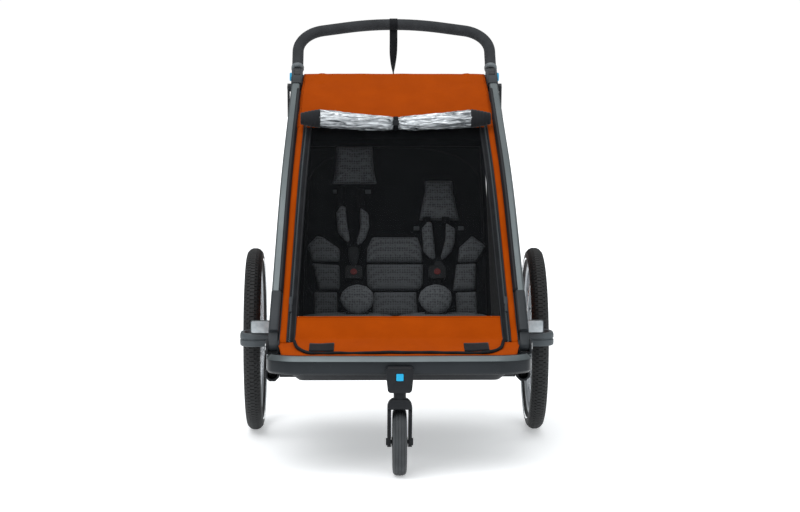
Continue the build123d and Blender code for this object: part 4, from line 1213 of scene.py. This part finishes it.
def seat_back():
    """A fabric sling over a thin tube, with pads, headrests and height buckles for the shoulder straps."""
    sling = crowned("seat_sling", [(-0.250, 0.016), (0.250, 0.016), (0.246, 0.25), (0.238, 0.498), (-0.238, 0.498),
                                   (-0.246, 0.25)], seat_at(0.0), 0.0035, 6, "lining", None, rings=10, back=0.0034)
    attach(sling, "seat_back")
    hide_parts("seat_back")
    def wing(u, v):
        across, along = 2 * u - 1, -0.01 + 0.54 * v
        point = seat_place(0, along, -0.0046)
        half = 0.2882 - SLOPE * (point - PIVOT).length
        return point + Vector((half * across, 0, 0)) + outward(SEAT_ANGLE) * wrinkle(point + Vector((across, 0, 0)),
                                                                                     0.2, 0.0012)
    lining = surface("seat_surround", wing, 24, 24, "lining", "seat_back", 0.0012)
    loop = smooth_loop([(-0.246, 0.02), (0.246, 0.02), (0.242, 0.25), (0.234, 0.494), (-0.234, 0.494),
                        (-0.242, 0.25)], 3)
    pipe("seat_back_tube", [seat_place(x, y, 0.0) for x, y in loop], 0.0042, "black_fabric", "seat_back", closed=True)
    for name, outline in BACK_PADS.items():
        pad = crowned(f"back_pad_{name}", outline, seat_at(0.0035), 0.018, 3.4, "pad", None, rings=9)
        if name == "centre_middle":
            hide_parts("back_pads")
        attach(pad, "seat_back")
        rim = [seat_place(x, y, 0.0052) for x, y in crisp_loop(outline)]
        pipe(f"back_pad_seam_{name}", rim, 0.0016, "black_fabric", "seat_back", closed=True)
    for name, middle, low, high, top_half, low_half in (("left", -0.110, 0.388, 0.494, 0.050, 0.061),
                                                       ("right", 0.122, 0.284, 0.396, 0.038, 0.054)):
        outline = [(middle - low_half, low), (middle + low_half, low), (middle + low_half * 0.9, low + 0.03),
                   (middle + top_half, high - 0.03), (middle + top_half, high), (middle - top_half, high),
                   (middle - top_half, high - 0.03), (middle - low_half * 0.9, low + 0.03)]

        def quilted(x, y, share, low=low, high=high):
            wings = 0.008 * min(1.0, abs(x) / 0.045) ** 2
            return (wings - 0.0005 * cos(2 * pi * (x - y) / 0.012)) * (1 - share ** 6)
        pad = crowned(f"headrest_{name}", outline, seat_at(0.0042), 0.022, 3.2, "pad", None, rings=14, ripple=quilted)
        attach(pad, "seat_back")
        if name == "left":
            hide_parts("headrests")
    for name, x in (("left_a", -0.161), ("left_b", -0.073), ("right_a", 0.060), ("right_b", 0.182)):
        y = 0.366 if name.startswith("left") else 0.262
        prism(f"height_buckle_{name}", rectangle(0.016, 0.011, 0.002),
              plane(seat_place(x, y, 0.004), Vector((1, 0, 0)), UP_SEAT), 0.004, 0.001, "plastic_light", "seat_back")


SHOULDERS = {
    "left_outer": [(-0.160, 0.300), (-0.148, 0.322), (-0.134, 0.318), (-0.132, 0.280), (-0.122, 0.220),
                   (-0.128, 0.212), (-0.155, 0.245)],
    "left_inner": [(-0.094, 0.316), (-0.072, 0.298), (-0.069, 0.262), (-0.080, 0.228), (-0.100, 0.205),
                   (-0.106, 0.212), (-0.094, 0.258)],
    "right_outer": [(0.074, 0.255), (0.088, 0.276), (0.101, 0.274), (0.106, 0.230), (0.111, 0.170),
                    (0.104, 0.163), (0.078, 0.190)],
    "right_inner": [(0.140, 0.272), (0.166, 0.255), (0.163, 0.215), (0.154, 0.190), (0.127, 0.162),
                    (0.124, 0.172), (0.138, 0.225)],
}


def harness():
    """Shoulder pads, the webbing over and under them, and the chest connectors."""
    for name, outline in SHOULDERS.items():
        pad = crowned(f"shoulder_pad_{name}", outline, seat_at(0.027), 0.011, 2.4, "pad", None, rings=7)
        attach(pad, "seat_back")
        if name == "left_outer":
            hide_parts("harness")
        top = max(outline, key=lambda p: p[1])
        low = min(outline, key=lambda p: p[1])
        route = [seat_place(top[0], top[1] + 0.060, 0.006), seat_place(top[0], top[1] + 0.035, 0.014),
                 seat_place(top[0], top[1] - 0.010, 0.030)]
        ribbon(f"shoulder_strap_{name}", route, 0.011, "seat_back")
        seat = -0.113 if name.startswith("left") else 0.118
        chest_y = 0.190 if name.startswith("left") else 0.150
        lower = [seat_place(low[0], low[1] + 0.012, 0.030), seat_place((low[0] + seat) / 2, (low[1] + chest_y) / 2, 0.033),
                 seat_place(seat, chest_y - 0.012, 0.036)]
        ribbon(f"chest_strap_{name}", lower, 0.010, "seat_back")
    for name, x, y, half in (("left", -0.1125, 0.180, 0.014), ("right", 0.119, 0.140, 0.012)):
        tongue = [(-half, 0.022), (half, 0.022), (half * 1.1, 0.0), (half * 0.6, -0.030), (-half * 0.6, -0.030),
                  (-half * 1.1, 0.0)]
        prism(f"chest_connector_{name}", tongue, plane(seat_place(x, y, 0.034), Vector((1, 0, 0)), UP_SEAT), 0.007,
              0.002, "plastic_hinge", "seat_back", rounds=1)


def ribbon(name, points, half_width, body, thickness=0.0009, finish="webbing"):
    """Flat webbing along points, facing the seat's front."""
    normal = outward(SEAT_ANGLE)
    smooth = []
    for a, b, c in zip([points[0]] + points[:-1], points, points[1:] + [points[-1]]):
        smooth += [a.lerp(b, 0.75), b, b.lerp(c, 0.25)]
    rows = []
    for index, point in enumerate(smooth):
        run = (smooth[min(index + 1, len(smooth) - 1)] - smooth[max(index - 1, 0)])
        run = run.normalized() if run.length > 0 else Vector((0, 0, 1))
        side = run.cross(normal).normalized()
        up = side.cross(run)
        rows.append([point + side * half_width * s + up * thickness * t
                     for s, t in ((-1, 0), (-0.95, 1), (0, 1.2), (0.95, 1), (1, 0), (0.95, -1), (0, -1), (-0.95, -1))])
    made = grid(name, rows, finish, None, closed=True, caps=True)
    if body:
        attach(made, body)
    return made


def seat_base():
    """Cushion with two seats and the fan-stitched pads between the legs."""
    low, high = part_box("seat_cushion")
    middle_y = (low.y + high.y) / 2
    place = plane(Vector((0, middle_y, low.z)), Vector((1, 0, 0)), Vector((0, 1, 0)))
    for name, sign in (("left", -1), ("right", 1)):
        outline = [(sign * 0.003, -0.086), (sign * 0.252, -0.086), (sign * 0.252, 0.086), (sign * 0.003, 0.086)]
        cushion = crowned(f"seat_cushion_{name}", outline, place, 0.020, 3.0, "pad", None, rings=12)
        puff(cushion, 2.5, 0.005)
        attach(cushion, "chassis")
        if sign > 0:
            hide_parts("seat_cushion")
    lean = radians(20)
    low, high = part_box("crotch_pads")
    for name, x in (("left", -0.102), ("right", 0.107)):
        middle = Vector((x, (low.y + high.y) / 2 + 0.0095, (low.z + high.z) / 2 - 0.006))
        tilt = plane(middle, Vector((1, 0, 0)), Vector((0, sin(lean), cos(lean))))
        outline = [(0.047 * cos(a) * (1.0 if sin(a) > 0 else 0.92), 0.041 * sin(a) + 0.003)
                   for a in (2 * pi * k / 12 for k in range(12))]

        def fan(px, py, share):
            a = atan2(py + 0.036, px)
            return -0.0014 * (0.5 + 0.5 * cos(a * 24)) * (1 - share ** 8) * min(1.0, (1 - share) * 4 + 0.2)
        pad = crowned(f"crotch_pad_{name}", outline, tilt, 0.016, 2.3, "pad", None, rings=16, ripple=fan)
        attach(pad, "chassis")
        if name == "left":
            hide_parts("crotch_pads")
        base = plane(middle + Vector((0, -0.001, -0.038)), Vector((1, 0, 0)), Vector((0, sin(lean), cos(lean))))
        prism(f"crotch_base_{name}", rectangle(0.060, 0.022, 0.009), base, 0.012, 0.003, "plastic_black", "chassis")
        strap = [Vector((x, middle.y + 0.006, low.z - 0.036)), Vector((x, middle.y + 0.004, low.z - 0.006)),
                 Vector((x, middle.y + 0.012, middle.z)), Vector((x * 1.03, 0.158, 0.428))]
        ribbon(f"crotch_strap_{name}", strap, 0.012, "chassis")


def side_walls():
    """Cloth walls between the rails and the side frames, with a net window bound in black."""
    rail_z = 0.311

    def wall_point(s, v, inset, sign):
        bottom = Vector((0, -0.300 + 0.695 * s, rail_z))
        top, _ = along_frame(0.060 + 0.862 * s, -0.0060)
        point = bottom.lerp(top, v)
        r = (point - PIVOT).length
        x = 0.2943 - SLOPE * r - inset
        return Vector((sign * x, point.y, point.z))

    for side, sign in SIDES.items():
        def cloth_at(u, v):
            point = wall_point(u, v, 0.0, sign)
            slack = 0.004 * sin(pi * u) * sin(pi * v) + wrinkle(point, 0.06, 0.0015, 31.0)
            return point - Vector((sign * slack, 0, 0))
        wall = surface(f"side_wall_{side}", cloth_at, 70, 30, "orange_fabric", "chassis", 0.0016)
        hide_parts(f"side_panel_{side}")
        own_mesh(wall)

        def window_at(u, v, grow=1.0):
            return wall_point(0.36 + 0.50 * u, 0.22 + 0.58 * v, -0.0016, sign)
        net = surface(f"side_window_{side}", window_at, 30, 16, "lining", "chassis", 0.0012)
        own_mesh(net)

        def inner_at(u, v):
            return wall_point(u, v, 0.0045, sign)
        inner = surface(f"side_lining_{side}", inner_at, 40, 18, "lining", "chassis", 0.0012)
        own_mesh(inner)
        frame_line = [window_at(k / 14, 0) for k in range(15)] + [window_at(1, k / 9) for k in range(1, 10)] \
            + [window_at(1 - k / 14, 1) for k in range(1, 15)] + [window_at(0, 1 - k / 9) for k in range(1, 9)]
        binding = pipe(f"side_window_binding_{side}", frame_line, 0.0024, "webbing", "chassis", closed=True)
        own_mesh(binding)
        top_line = [wall_point(k / 40, 0.985, 0.003, sign) for k in range(41)]
        hem = pipe(f"side_wall_hem_{side}", top_line, 0.0022, "webbing", "chassis")
        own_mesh(hem)
        rear_line = [wall_point(1.0, k / 20, 0.001, sign) for k in range(21)]
        rear = pipe(f"side_wall_rear_hem_{side}", rear_line, 0.0022, "webbing", "chassis")
        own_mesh(rear)


def rear_panel():
    """Dark cloth hanging from the top crossbar behind the seat back, hemmed at its foot."""
    top = Vector((0, HINGE.y + 0.0085, HINGE.z - 0.012))
    foot = Vector((0, 0.402, 0.752))

    def at(u, v):
        across = 2 * u - 1
        point = top.lerp(foot, v)
        half = leaning_x(point, 0.2932)
        wing = max(0.0, abs(across) - 0.84) / 0.16
        wall_y = 0.395 - 0.105 * (point.z - 0.310)
        slack = 0.006 * sin(pi * v) * max(0.0, 1 - (across / 0.84) ** 2)
        slack += wrinkle(Vector((across * 0.25, v * 0.2, 0)), 0.06, 0.0016, 41.0)
        y = point.y + (wall_y - point.y) * wing
        return Vector((half * min(1.0, abs(across) / 0.86) * (1 if across > 0 else -1), y + slack, point.z))
    cloth_piece = surface("rear_panel_cloth", at, 50, 18, "black_fabric", "upper_frame", 0.0014)
    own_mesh(cloth_piece)
    hem = pipe("rear_panel_hem", [at(k / 30, 0.995) for k in range(31)], 0.002, "webbing", "upper_frame")
    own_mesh(hem)


def cargo_bag():
    """Storage bag behind the seat back: a soft shell that hangs fuller at the bottom, with a bound mouth."""
    count = 56
    rows = []
    for k in range(23):
        v = k / 22
        along = 0.176 + 0.262 * v
        depth = 0.040 + 0.044 * min(1.0, v / 0.85) - 0.016 * max(0.0, v - 0.85) / 0.15
        half = 0.197 - 0.004 * (1 - v)
        if v < 0.08:
            depth *= 0.55 + 0.45 * (v / 0.08) ** 0.5
        ring = []
        for m in range(count):
            a = 2 * pi * m / count
            c, s = cos(a), sin(a)
            ex = 0.34
            px = half * abs(c) ** ex * (1 if c >= 0 else -1)
            ph = -0.0052 - depth / 2 - depth / 2 * abs(s) ** ex * (1 if s >= 0 else -1)
            bulge = 0.006 * sin(pi * v) * (1 - (px / half) ** 2) * (1 if s > 0 else 0)
            crease = noise.noise(Vector((px * 14, v * 5, ph * 14))) * 0.0022 * (1 if s > 0 else 0)
            ring.append(seat_place(px, along, ph - bulge - crease))
        rows.append(ring)
    bag = grid("storage_bag", rows, "black_fabric", "seat_back", closed=True, caps=True)
    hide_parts("cargo_bag")
    for name, row, radius in (("mouth", rows[-1], 0.0028), ("low", rows[2], 0.0016)):
        pipe(f"storage_bag_binding_{name}", row, radius, "webbing", "seat_back", closed=True)
    pocket = [seat_place(-0.12 + 0.24 * k / 20, 0.30, -0.0052 - 0.068 - 0.002) for k in range(21)]
    pipe("storage_bag_zip", pocket, 0.0022, "plastic_grey", "seat_back")


# ======================= rear reflectors =======================
def rear_reflectors():
    """Red reflectors on the rear crossbar."""
    for side, sign in SIDES.items():
        face = plane(Vector((sign * 0.205, 0.4364, 0.268)), Vector((-1, 0, 0)), Vector((0, 0, 1)))
        prism(f"rear_reflector_{side}", rectangle(0.070, 0.026, 0.006), face, 0.006, 0.0012, "red", "chassis")


# ======================= studio =======================
def studio():
    data = bpy.data.meshes.new("floor")
    data.from_pydata([(-30, -30, 0), (30, -30, 0), (30, 40, 0), (-30, 40, 0)], [], [(0, 1, 2, 3)])
    floor = bpy.data.objects.new("floor", data)
    bpy.context.scene.collection.objects.link(floor)
    material, shader, place = new_material("floor_paper", (0.9, 0.91, 0.92), 0.9, Specular_IOR_Level=0.1,
                                           Emission_Color=(0.97, 0.99, 1, 1), Emission_Strength=0.4)
    mottle(material, shader, place, (0.89, 0.90, 0.91), (0.91, 0.92, 0.93), 3.0)
    data.materials.append(material)
    world = bpy.data.worlds.new("studio")
    world.use_nodes = True
    ambient = world.node_tree.nodes["Background"]
    ambient.inputs["Color"].default_value = (0.96, 0.985, 1.0, 1)
    ambient.inputs["Strength"].default_value = 0.42
    backdrop = world.node_tree.nodes.new("ShaderNodeBackground")
    backdrop.inputs["Strength"].default_value = 1.02
    rays = world.node_tree.nodes.new("ShaderNodeLightPath")
    mixer = world.node_tree.nodes.new("ShaderNodeMixShader")
    world.node_tree.links.new(rays.outputs["Is Camera Ray"], mixer.inputs["Fac"])
    world.node_tree.links.new(ambient.outputs["Background"], mixer.inputs[1])
    world.node_tree.links.new(backdrop.outputs["Background"], mixer.inputs[2])
    world.node_tree.links.new(mixer.outputs["Shader"], world.node_tree.nodes["World Output"].inputs["Surface"])
    bpy.context.scene.world = world
    backdrop.inputs["Color"].default_value = (1, 1, 1, 1)
    for name, come_from, spread, strength in (("key", (-0.35, -0.55, 1.0), 50, 1.5), ("top", (0.1, 0.25, 1.0), 70, 0.9),
                                              ("fill", (0.8, -0.7, 0.5), 60, 0.35)):
        light = bpy.data.lights.new(name, "SUN")
        light.energy = strength
        light.angle = radians(spread)
        lamp = bpy.data.objects.new(name, light)
        lamp.rotation_euler = Vector(come_from).to_track_quat("Z", "Y").to_euler()
        bpy.context.scene.collection.objects.link(lamp)
    view = bpy.context.scene.view_settings
    view.view_transform = "Standard"


def build():
    handle()
    for side in SIDES:
        rear_wheel(side)
    front_wheel()
    structure()
    wheel_guards()
    pillar_trim()
    canopy()
    side_strips()
    zips()
    window()
    front_flap()
    apron()
    rain_roll()
    seat_back()
    harness()
    seat_base()
    side_walls()
    rear_panel()
    cargo_bag()
    rear_reflectors()
    studio()


build()
